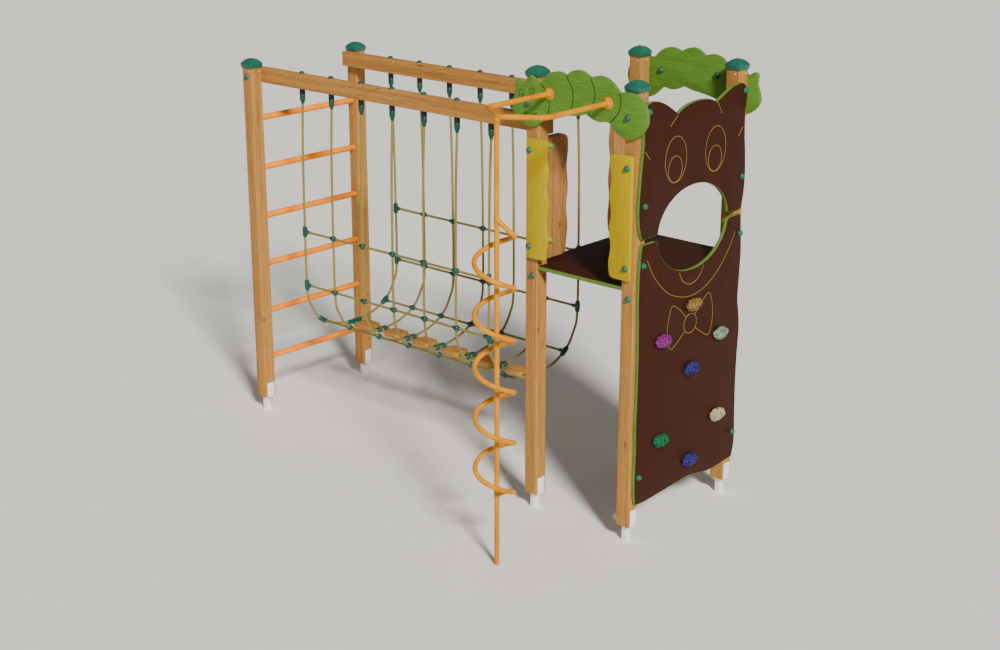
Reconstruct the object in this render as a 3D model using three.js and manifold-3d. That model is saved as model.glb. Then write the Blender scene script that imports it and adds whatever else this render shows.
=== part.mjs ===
// Children's climbing unit: a four-post tower with a platform, a bear-shaped
// climbing wall, segmented bug panels, a U-shaped rope net bridge, a ladder end
// and a spiral climber. Millimetres, +Z up.
// The design frame has its zero at the foot of the tower's front right post;
// the exported group shifts it so that the origin is the bottom centre of the
// whole object's bounding box.
import * as THREE from 'three';
import { mergeVertices } from 'three/addons/utils/BufferGeometryUtils.js';
import Module from 'manifold-3d';

const wasm = await Module();
wasm.setup();

// ---------- driving dimensions ----------
const GAP = 0.3;                 // clearance between pieces that touch

const POST_W = 90;               // square timber posts
const POST_EDGE_R = 6;
const TOWER_DX = 700;            // post centres across the tower front
const TOWER_DY = 935;            // post centres, front to back
const BRIDGE_L = 2470;           // tower to ladder end, post centres
const POST_Z0 = 100;             // timber starts above the ground
const TOWER_CAP_Z = 2623;        // lower rim of the caps
const LADDER_CAP_Z = 2390.5;
const CAP_GRIP = 20;             // how far a cap reaches down the post
const CAP_OVER = 7.5;
const CAP_RIM_H = 30;
const CAP_DOME_H = 31;

const FOOT_STEM = 40;
const FOOT_W = 60;
const FOOT_T = 5;
const FOOT_PLATE_H = 103;

const BEAM_T = 45;
const BEAM_H = 100;
const BEAM_TOP = 2390;

const RUNG_R = 21;
const RUNG_Z0 = 374;
const RUNG_PITCH = 335;
const RUNG_N = 6;
const RUNG_INSET = 20;

const RIB_N = 7;
const RIB_PITCH = 274;
const ROPE_R = 8;
const CLAMP_R = 18;
const HANGER_R = 19;
const HANGER_H = 79;
const TREAD_L = 142;             // along the bridge
const TREAD_W = 124;
const TREAD_T = 30;
const TREAD_BORE_R = 10;         // the two ropes run through the board
const FLOOR_ROPE_Y = 29.5;        // the two bottom ropes, from the middle
const FLOOR_ROPE_Z = 620.5;
const STUD_R = 5;
const STUD_HOLE_R = 6.5;
const NUT_R = 18;
const NUT_H = 16;

const DECK_TOP = 1535;
const DECK_T = 22;

const PANEL_T = 22;
const WALL_FACE = POST_W / 2;    // tower side face

const TUBE_R = 14;
const POLE_X = -341, POLE_Y = -741;
const SPIRAL_X = -351, SPIRAL_Y = -749;
const SPIRAL_R = 108;
const SPIRAL_PITCH = 294;
const SPIRAL_TURNS = 5;
const SPIRAL_Z = 1914;           // height of the first full-width point
const FRAME_Z = 2550;

const X_LADDER = -TOWER_DX - BRIDGE_L;
const Y_MID = TOWER_DY / 2;

// ---------- materials ----------
const mat = (c, r, m = 0) => new THREE.MeshStandardMaterial({ color: c, roughness: r, metalness: m });
const TIMBER = mat(0xb98443, 0.62);
const TEAL = mat(0x23785f, 0.42);
const STEEL = mat(0xd9dadb, 0.45, 0.7);
const TUBE = mat(0xe8a531, 0.38, 0.2);
const ROPE = mat(0xafa276, 0.85);
const BROWN = mat(0x4b2c22, 0.55);
const LIME = mat(0x6b9740, 0.5);
const YELLOW = mat(0xc8ae2c, 0.5);
const TREAD = mat(0xb07c46, 0.66);

// ---------- helpers ----------
const V2 = (x, y) => new THREE.Vector2(x, y);
const V3 = (x, y, z) => new THREE.Vector3(x, y, z);

function toSolid(geometry) {
  let g = geometry.index ? geometry.toNonIndexed() : geometry.clone();
  for (const name of Object.keys(g.attributes)) if (name !== 'position') g.deleteAttribute(name);
  g = mergeVertices(g, 1e-3);
  return new wasm.Manifold(new wasm.Mesh({
    numProp: 3,
    vertProperties: Float32Array.from(g.attributes.position.array),
    triVerts: Uint32Array.from(g.index.array),
  }));
}
function toGeometry(solid) {
  const m = solid.getMesh();
  const g = new THREE.BufferGeometry();
  const p = new Float32Array(m.numVert * 3);
  for (let i = 0; i < m.numVert; i++) for (let k = 0; k < 3; k++) p[3 * i + k] = m.vertProperties[i * m.numProp + k];
  g.setAttribute('position', new THREE.BufferAttribute(p, 3));
  g.setIndex(new THREE.BufferAttribute(Uint32Array.from(m.triVerts), 1));
  g.computeVertexNormals();
  return g;
}
const union = (list) => list.map((g) => (g.isBufferGeometry ? toSolid(g) : g)).reduce((a, b) => a.add(b));

function mesh(name, geometry, material) {
  const m = new THREE.Mesh(geometry, material);
  m.name = name;
  return m;
}
function box(x0, x1, y0, y1, z0, z1) {
  return new THREE.BoxGeometry(x1 - x0, y1 - y0, z1 - z0).translate((x0 + x1) / 2, (y0 + y1) / 2, (z0 + z1) / 2);
}
function roundRect(x0, y0, x1, y1, r, n = 3) {
  const pts = [];
  const c = [[x1 - r, y1 - r, 0], [x0 + r, y1 - r, 90], [x0 + r, y0 + r, 180], [x1 - r, y0 + r, 270]];
  for (const [cx, cy, a0] of c) for (let i = 0; i <= n; i++) {
    const a = (a0 + 90 * i / n) * Math.PI / 180;
    pts.push(V2(cx + r * Math.cos(a), cy + r * Math.sin(a)));
  }
  return pts;
}
const plate = (pts, depth) => new THREE.ExtrudeGeometry(new THREE.Shape(pts), { depth, bevelEnabled: false, steps: 1 });
// outline (x, z) made into a board that faces -Y, its front at y = front
function boardXZ(pts, front, depth) {
  const m = new THREE.Matrix4().makeBasis(V3(1, 0, 0), V3(0, 0, 1), V3(0, -1, 0));
  m.setPosition(0, front + depth, 0);
  return plate(pts, depth).applyMatrix4(m);
}
// outline (y, z) made into a board that faces +X, its back at x = back
function boardYZ(pts, back, depth) {
  const m = new THREE.Matrix4().makeBasis(V3(0, 1, 0), V3(0, 0, 1), V3(1, 0, 0));
  m.setPosition(back, 0, 0);
  return plate(pts, depth).applyMatrix4(m);
}
function circle(r, n) {
  const pts = [];
  for (let i = 0; i < n; i++) pts.push(V2(r * Math.cos(2 * Math.PI * i / n), r * Math.sin(2 * Math.PI * i / n)));
  return new THREE.Shape(pts);
}
const tube = (curve, r, sides, steps) =>
  new THREE.ExtrudeGeometry(circle(r, sides), { extrudePath: curve, steps, bevelEnabled: false });
class Polyline extends THREE.Curve {
  constructor(points) { super(); this.points = points; }
  getPoint(t) {
    const n = this.points.length - 1, s = Math.min(t * n, n - 1e-9), i = Math.floor(s);
    return this.points[i].clone().lerp(this.points[i + 1], s - i);
  }
  getPointAt(t) { return this.getPoint(t); }
  getSpacedPoints(n) { const a = []; for (let i = 0; i <= n; i++) a.push(this.getPoint(i / n)); return a; }
  getTangent(t) {
    const h = 0.5 / (this.points.length - 1);
    return this.getPoint(Math.min(1, t + h)).sub(this.getPoint(Math.max(0, t - h))).normalize();
  }
  getTangentAt(t) { return this.getTangent(t); }
}
const pathTube = (pts, r, sides) => tube(new Polyline(pts), r, sides, pts.length - 1);
const smooth = (pts, n) => new THREE.CatmullRomCurve3(pts, false, 'centripetal').getPoints(n);
function smooth2(pts, n, closed = false) {
  return new THREE.CatmullRomCurve3(pts.map(([x, y]) => V3(x, y, 0)), closed, 'centripetal')
    .getPoints(n).map((p) => V2(p.x, p.y));
}

// ---------- posts, caps and feet ----------
const postOutline = roundRect(-POST_W / 2, -POST_W / 2, POST_W / 2, POST_W / 2, POST_EDGE_R, 1);
function post(name, x, y, capZ) {
  const m = mesh(name, plate(postOutline, capZ + CAP_GRIP - POST_Z0 - GAP), TIMBER);
  m.position.set(x, y, POST_Z0 + GAP);
  return m;
}
const capGeometry = (() => {
  const w = POST_W / 2 + CAP_OVER;
  const ring = roundRect(-w, -w, w, w, 9, 1);
  const rim = plate(ring, CAP_RIM_H);
  // domed top: shrinking copies of the rim outline, closed at the apex
  const levels = [[1, 0], [0.9, 0.4], [0.55, 0.85], [0.1, 1]];
  const n = ring.length, pos = [], idx = [];
  for (const [s, h] of levels) for (const p of ring) pos.push(p.x * s, p.y * s, CAP_RIM_H - 0.5 + h * (CAP_DOME_H + 0.5));
  for (let l = 0; l < levels.length - 1; l++) for (let i = 0; i < n; i++) {
    const a = l * n + i, b = l * n + (i + 1) % n, c = a + n, d = b + n;
    idx.push(a, b, d, a, d, c);
  }
  const top = pos.length / 3; pos.push(0, 0, CAP_RIM_H + CAP_DOME_H);
  const bot = top + 1; pos.push(0, 0, CAP_RIM_H - 0.5);
  for (let i = 0; i < n; i++) {
    idx.push((levels.length - 1) * n + i, (levels.length - 1) * n + (i + 1) % n, top);
    idx.push((i + 1) % n, i, bot);
  }
  const dome = new THREE.BufferGeometry();
  dome.setAttribute('position', new THREE.Float32BufferAttribute(pos, 3));
  dome.setIndex(idx);
  const c = POST_W / 2 + GAP;
  const cavity = plate(roundRect(-c, -c, c, c, POST_EDGE_R - GAP, 1), CAP_GRIP + GAP + 1).translate(0, 0, -1);
  return toGeometry(union([rim, dome]).subtract(toSolid(cavity)));
})();
function cap(name, x, y, z) {
  const m = mesh(name, capGeometry.clone(), TEAL);
  m.position.set(x, y, z);
  return m;
}
const footGeometry = (() => {
  const s = FOOT_STEM / 2, w = FOOT_W / 2, h = POST_W / 2 + GAP, o = h + FOOT_T;
  return toGeometry(union([
    box(-s, s, -s, s, 0, POST_Z0 - 2),
    box(-o, o, -w, w, POST_Z0 - FOOT_T, POST_Z0),
    box(h, o, -w, w, POST_Z0 - FOOT_T, POST_Z0 + FOOT_PLATE_H),
    box(-o, -h, -w, w, POST_Z0 - FOOT_T, POST_Z0 + FOOT_PLATE_H),
  ]));
})();
function foot(name, x, y) {
  const m = mesh(name, footGeometry.clone(), STEEL);
  m.position.set(x, y, 0);
  return m;
}
const tower = new THREE.Group();
const ladder = new THREE.Group();
for (const [id, x, y, z, group] of [
  ['tower_front_left', -TOWER_DX, 0, TOWER_CAP_Z, tower],
  ['tower_front_right', 0, 0, TOWER_CAP_Z, tower],
  ['tower_back_left', -TOWER_DX, TOWER_DY, TOWER_CAP_Z, tower],
  ['tower_back_right', 0, TOWER_DY, TOWER_CAP_Z, tower],
  ['ladder_front', X_LADDER, 0, LADDER_CAP_Z, ladder],
  ['ladder_back', X_LADDER, TOWER_DY, LADDER_CAP_Z, ladder],
]) {
  group.add(post('post_' + id, x, y, z), cap('post_cap_' + id, x, y, z), foot('post_foot_' + id, x, y));
}

// ---------- ladder rungs, let into the two ladder posts ----------
const rungHoles = { ladder_front: [], ladder_back: [] };
for (let i = 0; i < RUNG_N; i++) {
  const y0 = POST_W / 2 - RUNG_INSET + GAP, y1 = TOWER_DY - POST_W / 2 + RUNG_INSET - GAP;
  const g = new THREE.CylinderGeometry(RUNG_R, RUNG_R, y1 - y0, 10);
  const m = mesh('ladder_rung_' + (i + 1), g, TUBE);
  m.position.set(X_LADDER, Y_MID, RUNG_Z0 + i * RUNG_PITCH);
  ladder.add(m);
}
for (const m of ladder.children.filter((o) => o.name.startsWith('post_ladder'))) {
  const front = m.name.endsWith('front');
  const y0 = front ? POST_W / 2 - RUNG_INSET : -POST_W / 2 - 1, y1 = y0 + RUNG_INSET + 1;
  let s = toSolid(m.geometry);
  for (let i = 0; i < RUNG_N; i++) {
    const hole = new THREE.CylinderGeometry(RUNG_R + 2 * GAP, RUNG_R + 2 * GAP, y1 - y0, 10)
      .translate(0, (y0 + y1) / 2, RUNG_Z0 + i * RUNG_PITCH - POST_Z0 - GAP);
    s = s.subtract(toSolid(hole));
  }
  m.geometry = toGeometry(s);
}

// ---------- the two top beams ----------
const bridge = new THREE.Group();
const beamX0 = X_LADDER - POST_W / 2 + 2, beamX1 = -TOWER_DX + POST_W / 2 - 2;
const ribX = [];
for (let i = 0; i < RIB_N; i++) ribX.push((X_LADDER - TOWER_DX) / 2 + (i - (RIB_N - 1) / 2) * RIB_PITCH);
function beam(name, y0) {
  const pts = roundRect(y0, BEAM_TOP - BEAM_H, y0 + BEAM_T, BEAM_TOP, 4, 1);
  let s = toSolid(boardYZ(pts, beamX0, beamX1 - beamX0));
  for (const x of ribX) {
    s = s.subtract(toSolid(new THREE.CylinderGeometry(STUD_HOLE_R, STUD_HOLE_R, BEAM_H + 20, 6)
      .rotateX(Math.PI / 2).translate(x, y0 + BEAM_T / 2, BEAM_TOP - BEAM_H / 2)));
  }
  return mesh(name, toGeometry(s), TIMBER);
}
const beamFrontY = POST_W / 2 + GAP, beamBackY = TOWER_DY - POST_W / 2 - GAP - BEAM_T;
bridge.add(beam('top_beam_front', beamFrontY), beam('top_beam_back', beamBackY));

// ---------- rope net ----------
const hangY = beamFrontY + BEAM_T / 2;
const RIB_HALF = [                       // (distance from the middle, height)
  [Y_MID - hangY, 2230], [414, 1900], [421.5, 1343], [420.5, 975],
  [409.5, 868], [384.5, 818], [347.5, 755], [294.5, 703], [232, 669], [167.5, 645], [29.5, FLOOR_ROPE_Z],
];
const ribProfile = [...RIB_HALF.map(([d, z]) => [Y_MID - d, z]), ...RIB_HALF.slice().reverse().map(([d, z]) => [Y_MID + d, z])];
const ribTube = (x, r, sides = 5) => pathTube(ribProfile.map(([y, z]) => V3(x, y, z)), r, sides);
// rib rope with the two hangers moulded on its ends: capsule, stud through the beam, dome nut
function ribSolid(x) {
  const parts = [ribTube(x, ROPE_R)];
  for (const y of [hangY, TOWER_DY - hangY]) {
    const z = BEAM_TOP - BEAM_H - GAP, t = BEAM_TOP + GAP;
    parts.push(new THREE.LatheGeometry([
      V2(0, z - HANGER_H), V2(HANGER_R * 0.7, z - HANGER_H), V2(HANGER_R, z - HANGER_H + 10),
      V2(HANGER_R, z), V2(STUD_R, z), V2(STUD_R, t), V2(NUT_R, t),
      V2(NUT_R * 0.75, t + NUT_H * 0.75), V2(0, t + NUT_H)], 6)
      .rotateX(Math.PI / 2).translate(x, y, 0));
  }
  return union(parts);
}
const ribSolids = ribX.map(ribSolid);
const ribCut = (i) => toSolid(ribTube(ribX[i], ROPE_R + 0.5));

const END_OVER = 4;
// ball clamp where a lengthwise rope crosses a rib; the end clamps are bars along the rib
function clamp(x, y, z, end, tilt) {
  const h = end ? 36 : CLAMP_R * 0.85;
  return new THREE.CylinderGeometry(CLAMP_R, CLAMP_R, 2 * h, 6).rotateX(tilt).translate(x, y, z);
}
function longRope(y, z, tilt, skip = []) {
  const parts = [pathTube([V3(ribX[0] - END_OVER, y, z), V3(ribX[RIB_N - 1] + END_OVER, y, z)], ROPE_R, 5)];
  ribX.forEach((x, i) => { if (!skip.includes(i)) parts.push(clamp(x, y, z, i === 0 || i === RIB_N - 1, tilt)); });
  return union(parts);
}
const cutRibs = (solid, from = 0) => ribX.reduce((s, x, i) => (i < from ? s : s.subtract(ribCut(i))), solid);
// four ropes along the two sides; tilt turns the end bars to lie along the rib
const SIDE_ROPES = [['upper', 421.5, 1343, 0], ['lower', 420.5, 975, 0.03]];
for (const [id, d, z, a] of SIDE_ROPES) {
  bridge.add(mesh(`net_side_rope_front_${id}`, toGeometry(cutRibs(longRope(Y_MID - d, z, Math.PI / 2 + a))), ROPE));
  bridge.add(mesh(`net_side_rope_back_${id}`, toGeometry(cutRibs(longRope(Y_MID + d, z, Math.PI / 2 - a))), ROPE));
}
// floor ropes: one at each lower corner, and the pair that carries the treads,
// all moulded to the first rib
const treadX = [];
for (let i = 0; i < RIB_N - 1; i++) treadX.push((ribX[i] + ribX[i + 1]) / 2);
{
  const corner = [294.5, 703, 0.9];
  const parts = [ribSolids[0], longRope(Y_MID - corner[0], corner[1], Math.PI / 2 + corner[2]), longRope(Y_MID + corner[0], corner[1], Math.PI / 2 - corner[2])];
  for (const s of [-1, 1]) parts.push(pathTube([V3(ribX[0] - END_OVER, Y_MID + s * FLOOR_ROPE_Y, FLOOR_ROPE_Z), V3(ribX[RIB_N - 1] + END_OVER, Y_MID + s * FLOOR_ROPE_Y, FLOOR_ROPE_Z)], ROPE_R, 6));
  ribX.forEach((x, i) => {
    for (const s of [-1, 1]) if (i > 0 && i < RIB_N - 1) parts.push(clamp(x, Y_MID + s * FLOOR_ROPE_Y, FLOOR_ROPE_Z, false, 0));
    if (i === 0 || i === RIB_N - 1) parts.push(new THREE.CylinderGeometry(CLAMP_R, CLAMP_R, 126, 6)
      .translate(x, Y_MID, FLOOR_ROPE_Z));
  });
  bridge.add(mesh('net_floor_ropes', toGeometry(cutRibs(union(parts), 1)), ROPE));
}
for (let i = 1; i < RIB_N; i++) bridge.add(mesh('net_rib_rope_' + (i + 1), toGeometry(ribSolids[i]), ROPE));
treadX.forEach((x, i) => {
  const z0 = FLOOR_ROPE_Z + 13 - TREAD_T;
  let board = toSolid(plate(roundRect(x - TREAD_L / 2, Y_MID - TREAD_W / 2, x + TREAD_L / 2, Y_MID + TREAD_W / 2, 30, 3), TREAD_T)
    .translate(0, 0, z0));
  for (const s of [-1, 1]) board = board.subtract(toSolid(new THREE.CylinderGeometry(TREAD_BORE_R, TREAD_BORE_R, TREAD_L + 20, 8)
    .rotateZ(Math.PI / 2).translate(x, Y_MID + s * FLOOR_ROPE_Y, FLOOR_ROPE_Z)));
  bridge.add(mesh('net_tread_' + (i + 1), toGeometry(board), TREAD));
});

// ---------- platform, notched around the posts ----------
{
  const e = POST_W / 2 - 2, n = POST_W / 2 + GAP * 2;      // outer edge and notch
  const x0 = -TOWER_DX - e, x1 = e, y0 = -e, y1 = TOWER_DY + e;
  const a = -TOWER_DX + n, b = -n, c = n, d = TOWER_DY - n;
  const pts = [[a, y0], [b, y0], [b, c], [x1, c], [x1, d], [b, d], [b, y1], [a, y1], [a, d], [x0, d], [x0, c], [a, c]];
  tower.add(mesh('platform_board', plate(pts.map(([x, y]) => V2(x, y)), DECK_T).translate(0, 0, DECK_TOP - DECK_T), BROWN));
}

// ---------- bear-shaped climbing wall ----------
const wall = new THREE.Group();
const WIN = { y: 465, z: 1798, a: 335, b: 248 };      // the mouth window, an ellipse
const toV2 = (pts) => pts.map(([x, y]) => V2(x, y));
// outline runs of (y, z): each run is one smooth curve, corners where runs meet
const runs = (list) => list.flatMap((run) => (run.length < 3 ? toV2(run) : smooth2(run, (run.length - 1) * 2)))
  .filter((p, i, a) => i === 0 || p.distanceTo(a[i - 1]) > 0.5);
function windowCut() {
  const pts = [];
  for (let i = 0; i < 36; i++) pts.push(V2(WIN.y + WIN.a * Math.cos(2 * Math.PI * i / 36), WIN.z + WIN.b * Math.sin(2 * Math.PI * i / 36)));
  return toSolid(boardYZ(pts, WALL_FACE - 5, PANEL_T + 20));
}
const UPPER = [
  [[8, 1814], [928, 1812]],
  [[936, 1822], [955, 1905], [962, 2008], [953, 2150], [936, 2300], [938, 2395], [948, 2479], [938, 2530], [905, 2554], [858, 2558],
    [800, 2548], [754, 2531], [700, 2507], [645, 2484]],
  [[645, 2484], [595, 2505], [533, 2515], [465, 2517], [393, 2509], [335, 2494], [284, 2470]],
  [[284, 2470], [227, 2506], [165, 2540], [99, 2562], [40, 2566], [5, 2553], [-12, 2510], [-15, 2420], [-16, 2327], [-30, 2200],
    [-42, 2080], [-47, 1964], [-38, 1890], [-20, 1826]],
];
const LOWER = [
  [[930, 1784], [103, 1784], [-10, 1783]],
  [[-14, 1770], [-26, 1640], [-30, 1479], [-23, 1300], [-18, 1100], [-19, 900], [-24, 720], [-20, 560], [-25, 390], [-16, 262], [-6, 240]],
  [[-6, 240], [60, 236], [150, 240], [248, 246], [370, 256], [499, 263], [600, 248], [701, 232], [830, 238], [948, 249]],
  [[952, 255], [972, 343], [966, 520], [960, 714], [962, 900], [970, 1095], [958, 1180], [944, 1260], [950, 1420], [955, 1560], [946, 1680], [934, 1780]],
];
for (const [name, outline] of [['climbing_wall_upper_panel', UPPER], ['climbing_wall_lower_panel', LOWER]]) {
  let pts = runs(outline);
  if (THREE.ShapeUtils.area(pts) < 0) pts = pts.reverse();
  const g = toSolid(boardYZ(pts, WALL_FACE + GAP, PANEL_T)).subtract(windowCut());
  wall.add(mesh(name, toGeometry(g), BROWN));
}

// ---------- climbing holds, bolted to the wall ----------
const HOLDS = [                          // y, z, half width, half height, colour
  [478, 1338, 73, 38, 0xb49a45], [194, 1187, 70, 41, 0xa3328c], [762, 1095, 68, 39, 0x6fb894], [480, 946, 71, 41, 0x2f3f9a],
  [762, 581, 70, 41, 0xa9ab8a], [198, 582, 70, 41, 0x1f7a55], [489, 370, 71, 41, 0x35479c],
];
HOLDS.forEach(([y, z, ry, rz, color], k) => {
  const g = new THREE.SphereGeometry(1, 10, 6);
  const p = g.attributes.position;
  for (let i = 0; i < p.count; i++) {
    const v = V3(p.getX(i), p.getY(i), p.getZ(i));
    const f = 1 + 0.09 * Math.sin(3.1 * v.y + 2 * v.z + 1.7 * k) + 0.07 * Math.sin(4.3 * v.z - 3.7 * v.x + 0.9 * k);
    p.setXYZ(i, v.x * 38 * f, v.y * ry * f, v.z * rz * f);
  }
  const face = WALL_FACE + GAP + PANEL_T + GAP;
  const s = toSolid(g.translate(face + 6, y, z)).subtract(toSolid(box(face - 90, face, y - 120, y + 120, z - 120, z + 120)));
  wall.add(mesh('climbing_hold_' + (k + 1), toGeometry(s), mat(color, 0.8)));
});
tower.add(wall);

// ---------- segmented bug panels ----------
// outline along the panel (from the head-side post's face) and height
const BUG = [
  [[-109, 2568], [-111, 2590], [-100, 2605], [-83, 2607], [-68, 2598], [-57, 2588]],
  [[-57, 2588], [-38, 2591], [-20, 2600]],
  [[-20, 2600], [-10, 2624], [10, 2638], [32, 2626], [58, 2602]],
  [[58, 2602], [83, 2600]],
  [[83, 2600], [112, 2641], [147, 2667], [190, 2678], [233, 2675], [260, 2665]],
  [[260, 2665], [294, 2690], [339, 2703], [381, 2697], [416, 2681], [433, 2673]],
  [[433, 2673], [464, 2684], [498, 2689], [539, 2683], [581, 2661], [612, 2632], [632, 2615]],
  [[632, 2615], [665, 2621], [703, 2623], [736, 2616], [770, 2594], [804, 2561], [821, 2521], [820, 2467], [799, 2427], [763, 2392],
    [710, 2371], [656, 2375], [615, 2395], [587, 2420], [566, 2440]],
  [[566, 2440], [538, 2445], [504, 2439], [462, 2443], [427, 2457], [404, 2468], [350, 2454], [258, 2440], [186, 2424], [114, 2404]],
  [[114, 2404], [85, 2380], [48, 2357], [4, 2347], [-41, 2357], [-78, 2378], [-108, 2403], [-124, 2427], [-131, 2454], [-127, 2482],
    [-117, 2510], [-107, 2540], [-109, 2568]],
];
function bugPanel(head, sign, y) {
  let pts = runs(BUG).map((p) => V2(head + sign * p.x, p.y));
  if (pts[0].distanceTo(pts[pts.length - 1]) < 1) pts.pop();
  if (THREE.ShapeUtils.area(pts) < 0) pts = pts.reverse();
  // shallow pockets in the back face for the rims of the two post caps
  let s = toSolid(boardXZ(pts, y, PANEL_T));
  const w = POST_W / 2 + CAP_OVER + 2 * GAP, py = y < 0 ? 0 : TOWER_DY;
  for (const px of [-TOWER_DX, 0]) s = s.subtract(toSolid(box(px - w, px + w, py - w, py + w, TOWER_CAP_Z - GAP, TOWER_CAP_Z + 120)));
  return toGeometry(s);
}
tower.add(mesh('bug_panel_front', bugPanel(-TOWER_DX, 1, -POST_W / 2 - GAP - PANEL_T), LIME));
tower.add(mesh('bug_panel_back', bugPanel(0, -1, TOWER_DY + POST_W / 2 + GAP), LIME));

// ---------- wavy side panels beside the two openings ----------
function wavy(edgeX, postX, z0, z1, amp, waves, phase) {
  const s = Math.sign(edgeX - postX), pts = [];
  const n = 22;
  for (let i = 0; i <= n; i++) {
    const t = i / n, end = Math.min(t, 1 - t) * (z1 - z0);
    const round = end < 22 ? 22 - Math.sqrt(Math.max(0, 22 * 22 - (22 - end) ** 2)) : 0;
    pts.push([edgeX - s * (round + amp * (1 + Math.sin(2 * Math.PI * waves * t + phase))), z0 + t * (z1 - z0)]);
  }
  pts.push([postX + s * 8, z1], [postX, z1 - 8], [postX, z0 + 8], [postX + s * 8, z0]);
  if (s < 0) pts.reverse();
  return toV2(pts);
}
const EY = -POST_W / 2 - GAP - PANEL_T;
tower.add(mesh('entrance_side_panel_left', boardXZ(wavy(-571, -720, 1582, 2280, 6, 3.6, 0.6), EY, PANEL_T), YELLOW));
tower.add(mesh('entrance_side_panel_right', boardXZ(wavy(-122, 25, 1582, 2280, 6, 3.6, 2.2), EY, PANEL_T), YELLOW));
const BT = 45;
const NX = -TOWER_DX - BT / 2;
tower.add(mesh('net_opening_board_front', boardYZ(wavy(252, POST_W / 2 + GAP, 1550, 2268, 6, 3, 0.4), NX, BT), TIMBER));
tower.add(mesh('net_opening_board_back', boardYZ(wavy(TOWER_DY - 258, TOWER_DY - POST_W / 2 - GAP, 1560, 2268, 6, 3, 1.6), NX, BT), TIMBER));

// ---------- spiral climber ----------
const climber = new THREE.Group();
{
  const pole = pathTube([V3(POLE_X, POLE_Y, 0), V3(POLE_X, POLE_Y, FRAME_Z - 4)], TUBE_R, 10);
  const a0 = Math.atan2(0.668, 0.744);     // direction of the helix's first full-width point
  const pts = [V3(POLE_X, POLE_Y, SPIRAL_Z + 92)];
  const c = (r, da, z) => V3(SPIRAL_X + r * Math.cos(a0 + da), SPIRAL_Y + r * Math.sin(a0 + da), z);
  pts.push(c(32, -0.25, SPIRAL_Z + 74), c(70, -0.2, SPIRAL_Z + 38), c(98, -0.12, SPIRAL_Z + 12));
  const N = 12;
  for (let i = 0; i <= N * SPIRAL_TURNS; i++) {
    const t = i / N;
    pts.push(c(SPIRAL_R, 2 * Math.PI * t, SPIRAL_Z - SPIRAL_PITCH * t));
  }
  const zEnd = SPIRAL_Z - SPIRAL_PITCH * SPIRAL_TURNS;
  pts.push(c(98, 0.3, zEnd - 10), c(66, 0.55, zEnd - 14), V3(POLE_X, POLE_Y, zEnd - 16));

  // bent tube from the front panel, around the pole head and back
  const y0 = -POST_W / 2 - GAP - PANEL_T - GAP;
  const F = [[-556, y0 - 4], [-548, -588], [POLE_X, POLE_Y], [-127, -592], [-143, y0 - 4]];
  const plan = [V3(F[0][0], F[0][1], FRAME_Z)];
  for (let i = 1; i < F.length - 1; i++) {
    const p = V2(...F[i]), u = V2(...F[i - 1]).sub(p).normalize(), v = V2(...F[i + 1]).sub(p).normalize();
    const k = i === 2 ? 30 : 55, q0 = p.clone().addScaledVector(u, k), q1 = p.clone().addScaledVector(v, k);
    for (let j = 0; j <= 4; j++) {
      const t = j / 4, w = q0.clone().multiplyScalar((1 - t) * (1 - t)).addScaledVector(p, 2 * t * (1 - t)).addScaledVector(q1, t * t);
      plan.push(V3(w.x, w.y, FRAME_Z));
    }
  }
  plan.push(V3(F[4][0], F[4][1], FRAME_Z));
  const boss = (x) => new THREE.LatheGeometry([V2(0, 0), V2(35, 0), V2(35, 5), V2(30, 9), V2(17, 20), V2(0, 22)], 12)
    .applyMatrix4(new THREE.Matrix4().makeBasis(V3(1, 0, 0), V3(0, -1, 0), V3(0, 0, -1)).setPosition(x, y0, FRAME_Z));
  climber.add(mesh('spiral_climber', toGeometry(union([pole, pathTube(pts, TUBE_R, 6), pathTube(plan, TUBE_R, 8), boss(F[0][0]), boss(F[4][0])])), TUBE));
}

// ---------- whole unit ----------
const unit = new THREE.Group();
unit.add(tower, ladder, bridge, climber);
unit.updateMatrixWorld(true);
const bounds = new THREE.Box3().setFromObject(unit, true);
unit.position.set(-(bounds.min.x + bounds.max.x) / 2, -(bounds.min.y + bounds.max.y) / 2, -bounds.min.z);
const root = new THREE.Group();
root.add(unit);
root.updateMatrixWorld(true);
export default root;
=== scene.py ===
import bpy, bmesh, math
from mathutils import Vector, Matrix, noise


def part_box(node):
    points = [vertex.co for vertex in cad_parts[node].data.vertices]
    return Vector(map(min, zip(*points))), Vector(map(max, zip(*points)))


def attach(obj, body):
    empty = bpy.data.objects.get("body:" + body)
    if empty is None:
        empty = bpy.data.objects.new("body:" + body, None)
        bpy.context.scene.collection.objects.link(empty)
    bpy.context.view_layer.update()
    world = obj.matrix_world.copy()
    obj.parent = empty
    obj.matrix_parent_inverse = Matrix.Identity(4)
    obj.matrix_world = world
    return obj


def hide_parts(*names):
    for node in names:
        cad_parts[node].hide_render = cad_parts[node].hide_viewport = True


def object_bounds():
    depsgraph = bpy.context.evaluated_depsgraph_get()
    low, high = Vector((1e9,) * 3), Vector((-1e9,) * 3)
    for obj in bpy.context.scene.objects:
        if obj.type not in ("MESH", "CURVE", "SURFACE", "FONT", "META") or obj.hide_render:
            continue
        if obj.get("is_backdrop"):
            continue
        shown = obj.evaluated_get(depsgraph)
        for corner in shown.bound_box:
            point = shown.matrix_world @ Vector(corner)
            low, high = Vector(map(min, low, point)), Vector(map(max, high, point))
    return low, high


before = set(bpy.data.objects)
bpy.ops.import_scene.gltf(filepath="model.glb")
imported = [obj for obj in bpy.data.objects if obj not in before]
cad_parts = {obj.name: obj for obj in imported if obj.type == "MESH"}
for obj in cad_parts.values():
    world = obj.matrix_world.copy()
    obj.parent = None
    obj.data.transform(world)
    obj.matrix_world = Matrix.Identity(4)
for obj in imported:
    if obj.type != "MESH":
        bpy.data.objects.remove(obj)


def plain(b):
    return [[float(v) for v in p] for p in b] if hasattr(b[0], "__len__") else [float(v) for v in b]


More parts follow.
